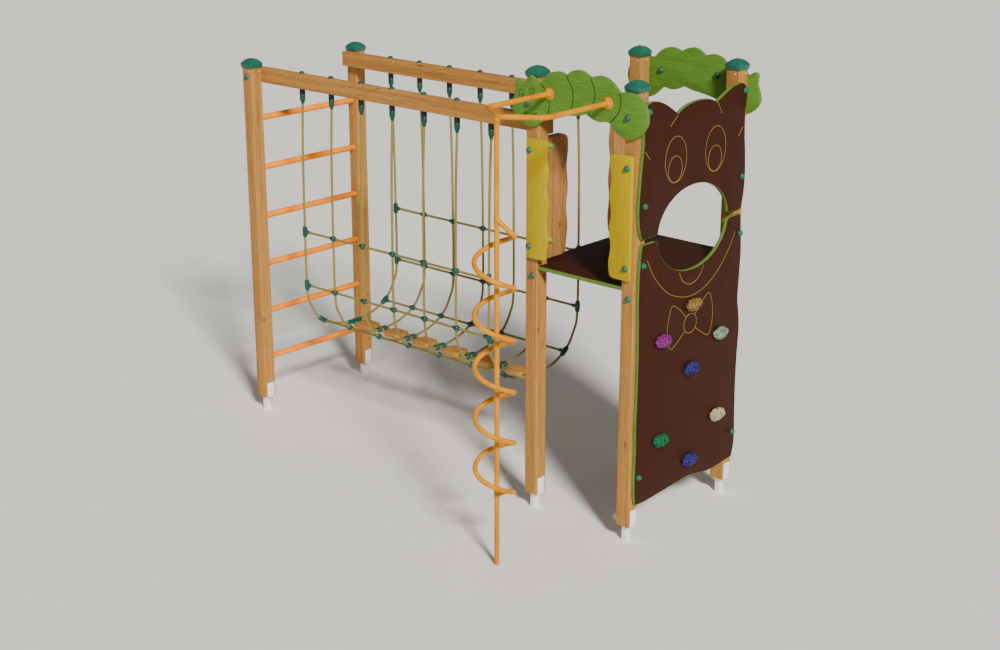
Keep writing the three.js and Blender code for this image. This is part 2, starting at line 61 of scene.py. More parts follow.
CAD_BOX = plain(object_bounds())
_lo, _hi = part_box("post_tower_front_right")
SX = (_lo[0] + _hi[0]) / 2 * 1000
SY = (_lo[1] + _hi[1]) / 2 * 1000


def P(x, y, z):
    """design millimetres (zero at the tower's front right post) to model metres"""
    return Vector(((x + SX) / 1000, (y + SY) / 1000, z / 1000))


# ------------------------------------------------------------------ camera
cam = bpy.data.cameras.new("camera")
cam.lens, cam.sensor_width, cam.clip_end = 61.0, 36.0, 100
cam_o = bpy.data.objects.new("camera", cam)
bpy.context.collection.objects.link(cam_o)
cam_o.location = P(5438.6, -7149.6, 4272.9)
_y, _p = math.radians(131.931), math.radians(18.296)
view_dir = Vector((math.cos(_y) * math.cos(_p), math.sin(_y) * math.cos(_p), -math.sin(_p)))
cam_o.rotation_euler = view_dir.to_track_quat("-Z", "Y").to_euler()
bpy.context.scene.camera = cam_o


# ------------------------------------------------------------------ materials
def lin(r, g, b):
    f = lambda c: c / 12.92 if c <= 0.04045 else ((c + 0.055) / 1.055) ** 2.4
    return (f(r / 255), f(g / 255), f(b / 255), 1)


def mul(cols, k):
    out = [(c[0] * k[0], c[1] * k[1], c[2] * k[2], 1) for c in cols]
    return out if len(out) > 1 else out[0]


class Mat:
    def __init__(self, name, rough=0.5, metal=0.0, spec=0.5, coat=0.0):
        self.m = bpy.data.materials.new(name)
        self.m.use_nodes = True
        self.t = self.m.node_tree
        self.b = self.t.nodes["Principled BSDF"]
        self.b.inputs["Roughness"].default_value = rough
        self.b.inputs["Metallic"].default_value = metal
        self.b.inputs["Specular IOR Level"].default_value = spec
        if coat:
            self.b.inputs["Coat Weight"].default_value = coat
            self.b.inputs["Coat Roughness"].default_value = 0.2
        self.co = self.n("ShaderNodeTexCoord").outputs["Object"]

    def n(self, kind, **kw):
        node = self.t.nodes.new(kind)
        for k, v in kw.items():
            if k in node.inputs:
                node.inputs[k].default_value = v
            else:
                setattr(node, k, v)
        return node

    def link(self, a, b):
        self.t.links.new(a, b)

    def mapped(self, scale, loc=(0, 0, 0)):
        m = self.n("ShaderNodeMapping")
        m.inputs["Scale"].default_value = scale
        m.inputs["Location"].default_value = loc
        self.link(self.co, m.inputs["Vector"])
        return m.outputs["Vector"]

    def noise(self, vec, scale, detail=4.0, rough=0.55, distortion=0.0):
        n = self.n("ShaderNodeTexNoise")
        n.inputs["Scale"].default_value = scale
        n.inputs["Detail"].default_value = detail
        n.inputs["Roughness"].default_value = rough
        n.inputs["Distortion"].default_value = distortion
        self.link(vec, n.inputs["Vector"])
        return n.outputs["Fac"]

    def ramp(self, fac, stops):
        r = self.n("ShaderNodeValToRGB")
        e = r.color_ramp.elements
        while len(e) < len(stops):
            e.new(0.5)
        for el, (pos, col) in zip(e, stops):
            el.position = pos
            el.color = col
        self.link(fac, r.inputs["Fac"])
        return r.outputs["Color"]

    def mix(self, fac, a, b, mode="MIX"):
        m = self.n("ShaderNodeMix")
        m.data_type = "RGBA"
        m.blend_type = mode
        for sock, v in ((m.inputs[0], fac), (m.inputs[6], a), (m.inputs[7], b)):
            if hasattr(v, "is_output"):
                self.link(v, sock)
            else:
                sock.default_value = v
        return m.outputs[2]

    def math(self, op, a, b=0.0):
        m = self.n("ShaderNodeMath")
        m.operation = op
        for sock, v in ((m.inputs[0], a), (m.inputs[1], b)):
            if hasattr(v, "is_output"):
                self.link(v, sock)
            else:
                sock.default_value = v
        return m.outputs[0]

    def bump(self, height, strength, dist, prev=None):
        b = self.n("ShaderNodeBump")
        b.inputs["Strength"].default_value = strength
        b.inputs["Distance"].default_value = dist
        self.link(height, b.inputs["Height"])
        if prev is not None:
            self.link(prev, b.inputs["Normal"])
        self.link(b.outputs["Normal"], self.b.inputs["Normal"])
        return b.outputs["Normal"]

    def color(self, c):
        self.link(c, self.b.inputs["Base Color"])

    def rough(self, fac, lo, hi):
        r = self.n("ShaderNodeMapRange")
        r.inputs["To Min"].default_value = lo
        r.inputs["To Max"].default_value = hi
        self.link(fac, r.inputs["Value"])
        self.link(r.outputs["Result"], self.b.inputs["Roughness"])


def timber(name, axis, light, mid, dark, fine=1.0, seed=0.0):
    m = Mat(name, 0.6, spec=0.18)
    def s(long, cross):
        v = [cross] * 3
        v[axis] = long
        return tuple(v)
    warp = m.noise(m.mapped(s(0.9, 5.0), (seed, seed, seed)), 1.0, 2, 0.5)
    ring = m.noise(m.mapped(s(0.55, 26 * fine), (seed, 0.3, seed)), 1.0, 5, 0.6, 0.5)
    fibre = m.noise(m.mapped(s(6, 420 * fine)), 1.0, 3, 0.6)
    streak = m.noise(m.mapped(s(1.6, 90 * fine), (0.7, seed, 0.2)), 1.0, 4, 0.65, 0.3)
    base = m.ramp(ring, [(0.30, dark), (0.44, mid), (0.56, light), (0.66, mid), (0.80, dark)])
    sharp = m.ramp(streak, [(0.40, (1, 1, 1, 1)), (0.52, (0, 0, 0, 1))])
    base = m.mix(m.math("MULTIPLY", sharp, 0.50), base, tuple(c * 0.70 for c in dark[:3]) + (1,))
    base = m.mix(0.38, base, m.ramp(fibre, [(0.38, tuple(c * 0.8 for c in dark[:3]) + (1,)), (0.60, tuple(min(1, c * 1.15) for c in light[:3]) + (1,))]), "MIX")
    base = m.mix(m.math("MULTIPLY", warp, 0.35), base, light)
    # short ticks of late wood, dark and pale
    tick = m.noise(m.mapped(s(20, 150), (0.2, seed, 0.5)), 1.0, 3, 0.7, 0.4)
    base = m.mix(m.ramp(tick, [(0.56, (0, 0, 0, 1)), (0.70, (0.50, 0.50, 0.50, 1))]), base, tuple(c * 0.66 for c in dark[:3]) + (1,))
    base = m.mix(m.ramp(tick, [(0.30, (0.42, 0.42, 0.42, 1)), (0.42, (0, 0, 0, 1))]), base, tuple(min(1, c * 1.3) for c in light[:3]) + (1,))
    # small knots, drawn out along the grain
    v = m.n("ShaderNodeTexVoronoi")
    v.inputs["Scale"].default_value = 1.0
    m.link(m.mapped(s(3.4, 11.5), (seed + 0.4, 0.1, 0.77)), v.inputs["Vector"])
    knot = m.ramp(v.outputs["Distance"], [(0.0, (1, 1, 1, 1)), (0.06, (0.8, 0.8, 0.8, 1)), (0.11, (0, 0, 0, 1))])
    base = m.mix(m.math("MULTIPLY", knot, 0.72), base, tuple(c * 0.32 for c in dark[:3]) + (1,))
    m.color(base)
    m.rough(streak, 0.48, 0.72)
    n1 = m.bump(fibre, 0.25, 0.0006)
    m.bump(ring, 0.25, 0.0012, n1)
    return m.m


W_LIGHT, W_MID, W_DARK = mul([lin(222, 172, 116), lin(198, 143, 88), lin(158, 104, 56)], (0.71, 0.62, 0.36))
WOOD_Z = timber("timber_upright", 2, W_LIGHT, W_MID, W_DARK)
WOOD_X = timber("timber_beam", 0, W_LIGHT, W_MID, W_DARK, seed=0.37)
WOOD_BOARD = timber("timber_board", 2, *mul([lin(214, 164, 110), lin(190, 137, 84), lin(150, 98, 54)], (0.70, 0.62, 0.44)), 0.6, 0.81)
WOOD_TREAD = timber("timber_tread", 0, *mul([lin(196, 134, 82), lin(172, 112, 64), lin(132, 82, 44)], (1.0, 1.08, 0.66)), 0.7, 0.15)


def moulded(name, base, dark, rough=0.42, coat=0.05, grit=0.35):
    m = Mat(name, rough, spec=0.35, coat=coat)
    cloud = m.noise(m.mapped((14, 14, 14)), 1.0, 4, 0.6)
    fine = m.noise(m.mapped((900, 900, 900)), 1.0, 2, 0.6)
    m.color(m.mix(0.5, m.ramp(cloud, [(0.3, dark), (0.7, base)]), base))
    m.rough(cloud, rough - 0.08, rough + 0.1)
    m.bump(fine, grit, 0.0003)
    return m.m


TEAL = moulded("moulded_teal", *mul([lin(40, 138, 112), lin(22, 104, 84)], (0.50, 0.52, 0.52)))
# net fittings: the same teal as the caps, in a darker copy that is painted shade
SHADED_TEAL_NET = moulded("moulded_teal_net_painted_shade", *mul([lin(40, 138, 112), lin(22, 104, 84)], (0.42, 0.33, 0.36)), 0.34)
TEAL_DARK = moulded("moulded_teal_deep", *mul([lin(26, 112, 84), lin(14, 78, 58)], (0.5, 0.45, 0.5)), 0.38)
GREEN_CAP = moulded("moulded_light_green", lin(134, 166, 84), lin(104, 136, 60))
# near black: painted shade on the top of each net hanger under the beam and on the tread screw heads
PAINTED_SHADE_BLACK = moulded("painted_shade_black", lin(16, 18, 17), lin(8, 9, 8), 0.55)


def painted(name, base, dark, light):
    m = Mat(name, 0.38, spec=0.13)
    cloud = m.noise(m.mapped((9, 9, 9)), 1.0, 5, 0.6)
    peel = m.noise(m.mapped((420, 420, 420)), 1.0, 2, 0.5)
    wear = m.noise(m.mapped((60, 60, 26)), 1.0, 6, 0.7)
    c = m.ramp(cloud, [(0.25, dark), (0.55, base), (0.8, light)])
    c = m.mix(m.ramp(wear, [(0.66, (0, 0, 0, 1)), (0.74, (0.5, 0.5, 0.5, 1))]), c, dark)
    m.color(c)
    m.rough(wear, 0.26, 0.46)
    m.bump(peel, 0.22, 0.0005)
    return m.m


TUBE = painted("painted_yellow_tube", *mul([lin(240, 156, 40), lin(216, 126, 22), lin(247, 174, 66)], (0.80, 0.80, 0.0)))
# rungs: the same paint as the tube, in a lighter, redder copy that is painted light
RUNG_RELIT_PAINT = painted("painted_rung_relit_copy", *mul([lin(240, 156, 40), lin(216, 126, 22), lin(247, 174, 66)], (1.25, 0.86, 0.0)))


def steel(name):
    m = Mat(name, 0.42, metal=0.2, spec=0.5)
    v = m.n("ShaderNodeTexVoronoi")
    v.inputs["Scale"].default_value = 110.0
    m.link(m.co, v.inputs["Vector"])
    cloud = m.noise(m.mapped((30, 30, 30)), 1.0, 4, 0.6)
    spangle = m.mix(0.5, v.outputs["Color"], m.ramp(cloud, [(0.2, (0.5, 0.5, 0.5, 1)), (0.8, (1, 1, 1, 1))]))
    m.color(m.mix(0.10, (0.97, 0.96, 0.95, 1), spangle, "MULTIPLY"))
    m.rough(cloud, 0.32, 0.56)
    m.bump(cloud, 0.15, 0.0004)
    return m.m


STEEL = steel("galvanised_steel")


def rope(name):
    m = Mat(name, 0.85, spec=0.25)
    fibre = m.noise(m.mapped((700, 700, 700)), 1.0, 3, 0.7)
    cloud = m.noise(m.mapped((35, 35, 35)), 1.0, 4, 0.6)
    c = m.ramp(fibre, [(0.28, lin(84, 72, 22)), (0.5, lin(142, 126, 52)), (0.75, lin(186, 170, 92))])
    m.color(m.mix(m.math("MULTIPLY", cloud, 0.45), c, lin(118, 104, 44)))
    m.bump(fibre, 0.6, 0.0007)
    m.b.inputs["Sheen Weight"].default_value = 0.1
    return m.m


ROPE = rope("laid_rope")


def board(name, axis, base, dark, light, speckle=0.0, rough=0.52):
    """panel board with fine streaks along one axis"""
    m = Mat(name, rough, spec=0.09)
    v = [210.0] * 3
    v[axis] = 8.0
    streak = m.noise(m.mapped(tuple(v)), 1.0, 4, 0.6, 0.2)
    v2 = [420.0] * 3
    v2[axis] = 20.0
    fine = m.noise(m.mapped(tuple(v2)), 1.0, 2, 0.6)
    cloud = m.noise(m.mapped((4, 4, 4)), 1.0, 4, 0.55)
    c = m.ramp(streak, [(0.32, dark), (0.5, base), (0.68, light)])
    c = m.mix(m.math("MULTIPLY", cloud, 0.5), c, base)
    if speckle:
        g = m.noise(m.mapped((520, 520, 520)), 1.0, 3, 0.75)
        c = m.mix(m.math("MULTIPLY", m.ramp(g, [(0.56, (0, 0, 0, 1)), (0.70, (1, 1, 1, 1))]), speckle), c, tuple(min(1, q * 2.6) for q in light[:3]) + (1,))
        g2 = m.noise(m.mapped((150, 150, 150)), 1.0, 3, 0.7)
        c = m.mix(m.ramp(g2, [(0.36, (0.55, 0.55, 0.55, 1)), (0.52, (0, 0, 0, 1))]), c, tuple(q * 0.5 for q in dark[:3]) + (1,))
    m.color(c)
    m.rough(streak, rough - 0.08, rough + 0.1)
    n1 = m.bump(fine, 0.35, 0.0005)
    m.bump(streak, 0.2, 0.0008, n1)
    return m.m


LIME = board("lime_board", 0, *mul([lin(112, 160, 62), lin(92, 140, 48), lin(130, 178, 78)], (0.66, 0.68, 0.60)))
LIME_EDGE = board("lime_core_edge", 2, *mul([lin(128, 172, 72), lin(104, 148, 54), lin(146, 188, 90)], (0.52, 0.54, 0.56)))
LIME_LINE = board("engraved_dark_line", 2, lin(30, 52, 20), lin(18, 34, 12), lin(40, 64, 26), rough=0.7)
YELLOW = board("yellow_board", 2, *mul([lin(214, 190, 44), lin(198, 172, 34), lin(226, 204, 62)], (0.74, 0.68, 0.0)))
BROWN = board("brown_board", 2, *mul([lin(82, 48, 36), lin(72, 41, 31), lin(92, 55, 42)], (0.50, 0.39, 0.31)), 0.30, 0.56)
TAN_LINE = board("engraved_tan_line", 2, *mul([lin(188, 148, 74), lin(164, 126, 58), lin(204, 166, 90)], (0.60, 0.66, 0.66)), rough=0.7)


def sandy(name, base, dark, light):
    m = Mat(name, 0.82, spec=0.12)
    g = m.noise(m.mapped((420, 420, 420)), 1.0, 4, 0.75)
    cloud = m.noise(m.mapped((85, 85, 85)), 1.0, 5, 0.72)
    v = m.n("ShaderNodeTexVoronoi")
    v.inputs["Scale"].default_value = 190.0
    m.link(m.co, v.inputs["Vector"])
    c = m.ramp(cloud, [(0.36, tuple(q * 0.55 for q in dark[:3]) + (1,)), (0.50, base), (0.63, tuple(min(1, q * 1.35) for q in light[:3]) + (1,))])
    c = m.mix(m.ramp(g, [(0.55, (0, 0, 0, 1)), (0.72, (0.55, 0.55, 0.55, 1))]), c, light)
    c = m.mix(m.ramp(v.outputs["Distance"], [(0.0, (0.6, 0.6, 0.6, 1)), (0.18, (0, 0, 0, 1))]), c, dark)
    m.color(c)
    n1 = m.bump(g, 0.6, 0.0012)
    m.bump(cloud, 0.5, 0.003, n1)
    return m.m


HOLD_MAT = {
    "hold_tan": sandy("hold_tan", *mul([lin(196, 158, 70), lin(140, 102, 40), lin(224, 196, 112)], (0.34, 0.33, 0.36))),
    "hold_magenta": sandy("hold_magenta", *mul([lin(190, 52, 162), lin(132, 22, 112), lin(214, 92, 190)], (0.32, 0.36, 0.34))),
    "hold_mint": sandy("hold_mint", *mul([lin(140, 196, 164), lin(88, 146, 112), lin(190, 224, 196)], (0.50, 0.38, 0.38))),
    "hold_blue": sandy("hold_blue", *mul([lin(62, 68, 188), lin(34, 38, 132), lin(104, 110, 214)], (0.36, 0.28, 0.22))),
    "hold_cream": sandy("hold_cream", *mul([lin(188, 192, 152), lin(134, 142, 100), lin(216, 220, 184)], (0.62, 0.58, 0.52))),
    "hold_green": sandy("hold_green", *mul([lin(34, 128, 88), lin(16, 86, 56), lin(76, 160, 118)], (0.34, 0.44, 0.46))),
}


# ------------------------------------------------------------------ mesh helpers
made = {}


def new_obj(name, verts, faces, mats, nodes=(), index=None, angle=38, body="root"):
    me = bpy.data.meshes.new(name)
    me.from_pydata([tuple(v) for v in verts], [], faces)
    me.validate()
    o = bpy.data.objects.new(name, me)
    bpy.context.collection.objects.link(o)
    for m in (mats if isinstance(mats, (list, tuple)) else [mats]):
        me.materials.append(m)
    if index:
        for p, i in zip(me.polygons, index):
            p.material_index = i
    finish_mesh(me, angle)
    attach(o, body)
    if nodes:
        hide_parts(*nodes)
    made[name] = o
    return o


def finish_mesh(me, angle):
    bm = bmesh.new()
    bm.from_mesh(me)
    bmesh.ops.remove_doubles(bm, verts=bm.verts, dist=1e-6)
    bmesh.ops.recalc_face_normals(bm, faces=bm.faces)
    bm.to_mesh(me)
    bm.free()
    me.shade_smooth()
    me.set_sharp_from_angle(angle=math.radians(angle))


class Part:
    """collects closed bits into one mesh; points in model metres"""

    def __init__(self):
        self.v, self.f, self.i = [], [], []

    def add(self, verts, faces, mi=0):
        k = len(self.v)
        self.v += [Vector(p) for p in verts]
        self.f += [tuple(a + k for a in f) for f in faces]
        self.i += [mi] * len(faces)

    def sweep(self, pts, ring_at, mi=0, up=None):
        """ring_at(i, s) -> [(a, b)] offsets in metres; parallel-transported frame"""
        n = len(pts)
        tang = [((pts[min(i + 1, n - 1)] - pts[max(i - 1, 0)]).normalized()) for i in range(n)]
        ref = up or (Vector((0, 0, 1)) if abs(tang[0].z) < 0.9 else Vector((1, 0, 0)))
        a = (ref - tang[0] * ref.dot(tang[0])).normalized()
        verts, s, m = [], 0.0, 0
        for i in range(n):
            a = (a - tang[i] * a.dot(tang[i])).normalized()
            b = tang[i].cross(a)
            if i:
                s += (pts[i] - pts[i - 1]).length
            ring = ring_at(i, s)
            m = len(ring)
            verts += [pts[i] + a * p + b * q for p, q in ring]
        faces = []
        for i in range(n - 1):
            for j in range(m):
                faces.append((i * m + j, i * m + (j + 1) % m, (i + 1) * m + (j + 1) % m, (i + 1) * m + j))
        faces.append(tuple(range(m - 1, -1, -1)))
        faces.append(tuple((n - 1) * m + j for j in range(m)))
        self.add(verts, faces, mi)

    def tube(self, pts, r, sides=20, mi=0):
        ring = [(r * math.cos(2 * math.pi * j / sides), r * math.sin(2 * math.pi * j / sides)) for j in range(sides)]
        self.sweep(pts, lambda i, s: ring, mi)

    def rope(self, pts, r=0.0084, strands=4, pitch=0.075, mi=0, sides=18):
        def ring(i, s):
            out = []
            for j in range(sides):
                t = 2 * math.pi * j / sides
                q = r * (0.91 + 0.13 * math.cos(strands * (t - 2 * math.pi * s / pitch)))
                out.append((q * math.cos(t), q * math.sin(t)))
            return out
        self.sweep(pts, ring, mi)

    def lathe(self, origin, axis, prof, sides=28, mi=0, split=None):
        """prof: (radius, height) in millimetres; starts and ends on the axis"""
        axis = Vector(axis).normalized()
        ref = Vector((0, 0, 1)) if abs(axis.z) < 0.9 else Vector((1, 0, 0))
        a = (ref - axis * ref.dot(axis)).normalized()
        b = axis.cross(a)
        verts, faces, idx = [], [], []
        verts.append(origin + axis * (prof[0][1] / 1000))
        body = prof[1:-1]
        for r, h in body:
            for j in range(sides):
                t = 2 * math.pi * j / sides
                verts.append(origin + axis * (h / 1000) + (a * math.cos(t) + b * math.sin(t)) * (r / 1000))
        verts.append(origin + axis * (prof[-1][1] / 1000))
        last = len(verts) - 1
        for j in range(sides):
            faces.append((0, 1 + (j + 1) % sides, 1 + j))
            k = 1 + (len(body) - 1) * sides
            faces.append((last, k + j, k + (j + 1) % sides))
        for l in range(len(body) - 1):
            for j in range(sides):
                p = 1 + l * sides
                faces.append((p + j, p + (j + 1) % sides, p + sides + (j + 1) % sides, p + sides + j))
        self.add(verts, faces, mi)

    def obj(self, name, mats, nodes=(), angle=38):
        return new_obj(name, self.v, self.f, mats, nodes, self.i, angle)


def rrect(x0, y0, x1, y1, r, n=5):
    pts = []
    for cx, cy, a0 in ((x1 - r, y1 - r, 0), (x0 + r, y1 - r, 90), (x0 + r, y0 + r, 180), (x1 - r, y0 + r, 270)):
        for i in range(n + 1):
            a = math.radians(a0 + 90 * i / n)
            pts.append((cx + r * math.cos(a), cy + r * math.sin(a)))
    return pts


def catmull(pts, per=8, closed=False):
    """centripetal-like smooth curve through points (tuples of any size)"""
    pts = [Vector(p) if len(p) > 2 else Vector((p[0], p[1], 0)) for p in pts]
    n = len(pts)
    out = []
    rng = range(n if closed else n - 1)
    for i in rng:
        p0 = pts[(i - 1) % n] if closed or i > 0 else pts[0] * 2 - pts[1]
        p1, p2 = pts[i % n], pts[(i + 1) % n]
        p3 = pts[(i + 2) % n] if closed or i + 2 < n else pts[-1] * 2 - pts[-2]
        t0, t1 = 0.0, max((p1 - p0).length, 1e-6) ** 0.5
        t2 = t1 + max((p2 - p1).length, 1e-6) ** 0.5
        t3 = t2 + max((p3 - p2).length, 1e-6) ** 0.5
        for k in range(per):
            t = t1 + (t2 - t1) * k / per
            a1 = p0 * ((t1 - t) / (t1 - t0)) + p1 * ((t - t0) / (t1 - t0))
            a2 = p1 * ((t2 - t) / (t2 - t1)) + p2 * ((t - t1) / (t2 - t1))
            a3 = p2 * ((t3 - t) / (t3 - t2)) + p3 * ((t - t2) / (t3 - t2))
            b1 = a1 * ((t2 - t) / (t2 - t0)) + a2 * ((t - t0) / (t2 - t0))
            b2 = a2 * ((t3 - t) / (t3 - t1)) + a3 * ((t - t1) / (t3 - t1))
            out.append(b1 * ((t2 - t) / (t2 - t1)) + b2 * ((t - t1) / (t2 - t1)))
    if not closed:
        out.append(pts[-1])
    return out


def resample(pts, step):
    out = [pts[0]]
    acc = 0.0
    total = sum((pts[i + 1] - pts[i]).length for i in range(len(pts) - 1))
    n = max(2, int(round(total / step)))
    want = [total * k / n for k in range(1, n)]
    s, k = 0.0, 0
    for i in range(len(pts) - 1):
        d = (pts[i + 1] - pts[i]).length
        while k < len(want) and want[k] <= s + d:
            out.append(pts[i].lerp(pts[i + 1], (want[k] - s) / max(d, 1e-9)))
            k += 1
        s += d
    out.append(pts[-1])
    return out


def prism(outline, to3, depth, bevel, mats, name, nodes=(), seg=2, cuts=(), angle=34, edge_mi=1):
    """board from a 2-D outline in mm. to3(u, v, d) -> model point, d from 0 (back) to depth (face).
    Face material 0, edge material 1. cuts: list of (mesh builder Part) swept cutters, material 2."""
    bm = bmesh.new()
    a = [bm.verts.new(to3(u, v, 0)) for u, v in outline]
    b = [bm.verts.new(to3(u, v, depth)) for u, v in outline]
    n = len(outline)
    bm.faces.new(a).material_index = 0
    bm.faces.new(b).material_index = 0
    for i in range(n):
        bm.faces.new((a[i], a[(i + 1) % n], b[(i + 1) % n], b[i])).material_index = edge_mi
    bmesh.ops.recalc_face_normals(bm, faces=bm.faces)
    bm.edges.ensure_lookup_table()
    rims = [e for e in bm.edges if len(e.link_faces) == 2 and any(len(f.verts) > 4 for f in e.link_faces)]
    bmesh.ops.bevel(bm, geom=rims, offset=bevel / 1000, segments=seg, affect="EDGES", profile=0.5, material=edge_mi, clamp_overlap=True)
    me = bpy.data.meshes.new(name)
    bm.to_mesh(me)
    bm.free()
    o = bpy.data.objects.new(name, me)
    bpy.context.collection.objects.link(o)
    for m in mats:
        me.materials.append(m)
    for cut in cuts:
        cm = bpy.data.meshes.new("cut")
        cm.from_pydata([tuple(p) for p in cut.v], [], cut.f)
        for m in mats:
            cm.materials.append(m)
        for p, i in zip(cm.polygons, cut.i):
            p.material_index = i
        cb = bmesh.new()
        cb.from_mesh(cm)
        bmesh.ops.recalc_face_normals(cb, faces=cb.faces)
        cb.to_mesh(cm)
        cb.free()
        co = bpy.data.objects.new("cut", cm)
        bpy.context.collection.objects.link(co)
        md = o.modifiers.new("cut", "BOOLEAN")
        md.operation, md.solver, md.object = "DIFFERENCE", "EXACT", co
        bpy.context.view_layer.update()
        res = bpy.data.meshes.new_from_object(o.evaluated_get(bpy.context.evaluated_depsgraph_get()))
        o.modifiers.clear()
        old = o.data
        if len(res.polygons) > 3:
            o.data = res
            bpy.data.meshes.remove(old)
        bpy.data.objects.remove(co)
        bpy.data.meshes.remove(cm)
    o.data.name = name
    o.data.shade_smooth()
    o.data.set_sharp_from_angle(angle=math.radians(angle))
    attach(o, "root")
    if nodes:
        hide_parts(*nodes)
    made[name] = o
    return o


# ------------------------------------------------------------------ dimensions shared with the CAD
X_L, X_C, X_D, Y_F, Y_B, YM = -3170, -700, 0, 0, 935, 467.5
POSTS = [("tower_front_left", X_C, Y_F, 2623), ("tower_front_right", X_D, Y_F, 2623),
         ("tower_back_left", X_C, Y_B, 2623), ("tower_back_right", X_D, Y_B, 2623),
         ("ladder_front", X_L, Y_F, 2390.5), ("ladder_back", X_L, Y_B, 2390.5)]
RIBX = [(X_L + X_C) / 2 + (i - 3) * 274 for i in range(7)]

# ------------------------------------------------------------------ posts, caps, feet
for pid, px, py, capz in POSTS:
    ring = rrect(px - 45, py - 45, px + 45, py + 45, 7.5, 6)
    prof = [(0.965, 100.3), (0.99, 102.3), (1, 106)] + [(1, z) for z in range(300, int(capz) - 60, 300)] + [(1, capz + 18)]
    v, f = [], []
    for s, z in prof:
        v += [P(px + (x - px) * s, py + (y - py) * s, z) for x, y in ring]
    n = len(ring)
    for l in range(len(prof) - 1):
        f += [(l * n + i, l * n + (i + 1) % n, (l + 1) * n + (i + 1) % n, (l + 1) * n + i) for i in range(n)]
    f += [tuple(range(n - 1, -1, -1)), tuple((len(prof) - 1) * n + i for i in range(n))]
    new_obj("timber_" + pid, v, f, WOOD_Z, ["post_" + pid], angle=50)

    # cap: rim with a lip and a four-sided soft dome
    K, v, f = 20, [], []
    rings = []
    w = 53.4
    base = rrect(-w, -w, w, w, 7, 2)
    side = [(-4.4, 0), (-3.4, 1.2), (-0.4, 21), (0, 23.5), (-0.5, 26)]
    for off, z in side:
        sc = (w + off) / w
        rings.append([(x * sc, y * sc, z) for x, y in base])
    for t in [0.965, 0.92, 0.86, 0.78, 0.68, 0.56, 0.43, 0.29, 0.15]:
        row = []
        for x, y in base:
            # ridge: corners keep a little more height than the flats
            ang = math.atan2(y, x)
            corner = abs(math.sin(2 * ang)) ** 3
            z = 26 + 35 * (1 - t ** 2.1) ** 0.86 + 0.8 * corner * (1 - abs(2 * t - 1))
            row.append((x * t, y * t, z))
        rings.append(row)
    n = len(base)
    for r in rings:
        v += [P(px + x, py + y, capz + z) for x, y, z in r]
    for l in range(len(rings) - 1):
        f += [(l * n + i, l * n + (i + 1) % n, (l + 1) * n + (i + 1) % n, (l + 1) * n + i) for i in range(n)]
    top = len(v)
    v.append(P(px, py, capz + 61))
    f += [((len(rings) - 1) * n + i, (len(rings) - 1) * n + (i + 1) % n, top) for i in range(n)]
    inner = rrect(-45.3, -45.3, 45.3, 45.3, 7, 2)
    k = len(v)
    v += [P(px + x, py + y, capz + 0.4) for x, y in inner]
    v += [P(px + x, py + y, capz + 19) for x, y in inner]
    f += [(i, (i + 1) % n, k + (i + 1) % n, k + i)[::-1] for i in range(n)]
    f += [(k + i, k + (i + 1) % n, k + n + (i + 1) % n, k + n + i) for i in range(n)]
    f.append(tuple(k + n + i for i in range(n)))
    new_obj("cap_" + pid, v, f, TEAL, ["post_cap_" + pid], angle=24)

    # foot: square stub, base plate and two straps with bolts
    g = Part()

    def slab(x0, x1, y0, y1, z0, z1, r=2.0):
        ring = rrect(x0, y0, x1, y1, min(r, (x1 - x0) / 2.2, (y1 - y0) / 2.2), 3)
        cx, cy, n = (x0 + x1) / 2, (y0 + y1) / 2, len(ring)
        rows = [(0.97, z0), (1, z0 + 0.8), (1, z1 - 0.8), (0.97, z1)]
        v = [P(px + cx + (x - cx) * s, py + cy + (y - cy) * s, z) for s, z in rows for x, y in ring]
        f = [(l * n + i, l * n + (i + 1) % n, (l + 1) * n + (i + 1) % n, (l + 1) * n + i) for l in range(3) for i in range(n)]
        f += [tuple(range(n - 1, -1, -1)), tuple(3 * n + i for i in range(n))]
        g.add(v, f)
    slab(-20, 20, -20, 20, 0, 96, 4)
    slab(-50.3, 50.3, -30, 30, 95, 100, 2)
    slab(45.4, 50.3, -30, 30, 96, 203, 2)
    slab(-50.3, -45.4, -30, 30, 96, 203, 2)
    for sx in (1, -1):
        for z in (128, 176):
            g.lathe(P(px + sx * 50.2, py, z), (sx, 0, 0), [(0, -1), (9, -1), (9, 1), (6.8, 1.2), (6.6, 4.4), (5.5, 5.2), (0, 5.2)], 6)
    g.obj("foot_" + pid, STEEL, ["post_foot_" + pid], angle=30)

# ------------------------------------------------------------------ rungs
for i in range(6):
    z = 374 + 335 * i
    g = Part()
    prof = [(0, 25.5), (19.5, 25.5), (21, 27), (21, 467), (21, 907.5), (19.5, 909.5), (0, 909.5)]
    g.lathe(P(X_L, 0, z), (0, 1, 0), prof, 32)
    g.obj(f"rung_{i + 1}", RUNG_RELIT_PAINT, [f"ladder_rung_{i + 1}"])

# ------------------------------------------------------------------ top beams
for nm, y0, node in (("beam_front", 45.3, "top_beam_front"), ("beam_back", 844.7, "top_beam_back")):
    ring = rrect(y0, 2290, y0 + 45, 2390, 6, 5)
    cy, cz, n = y0 + 22.5, 2340, len(ring)
    rows = [(0.96, -3213), (0.99, -3211.5), (1, -3208)] + [(1, x) for x in range(-2900, -700, 300)] + [(1, -662), (0.99, -658.5), (0.96, -657)]
    v = [P(x, cy + (y - cy) * s, cz + (z - cz) * s) for s, x in rows for y, z in ring]
    f = [(l * n + i, l * n + (i + 1) % n, (l + 1) * n + (i + 1) % n, (l + 1) * n + i) for l in range(len(rows) - 1) for i in range(n)]
    f += [tuple(range(n - 1, -1, -1)), tuple((len(rows) - 1) * n + i for i in range(n))]
    new_obj(nm, v, f, WOOD_X, [node], angle=50)

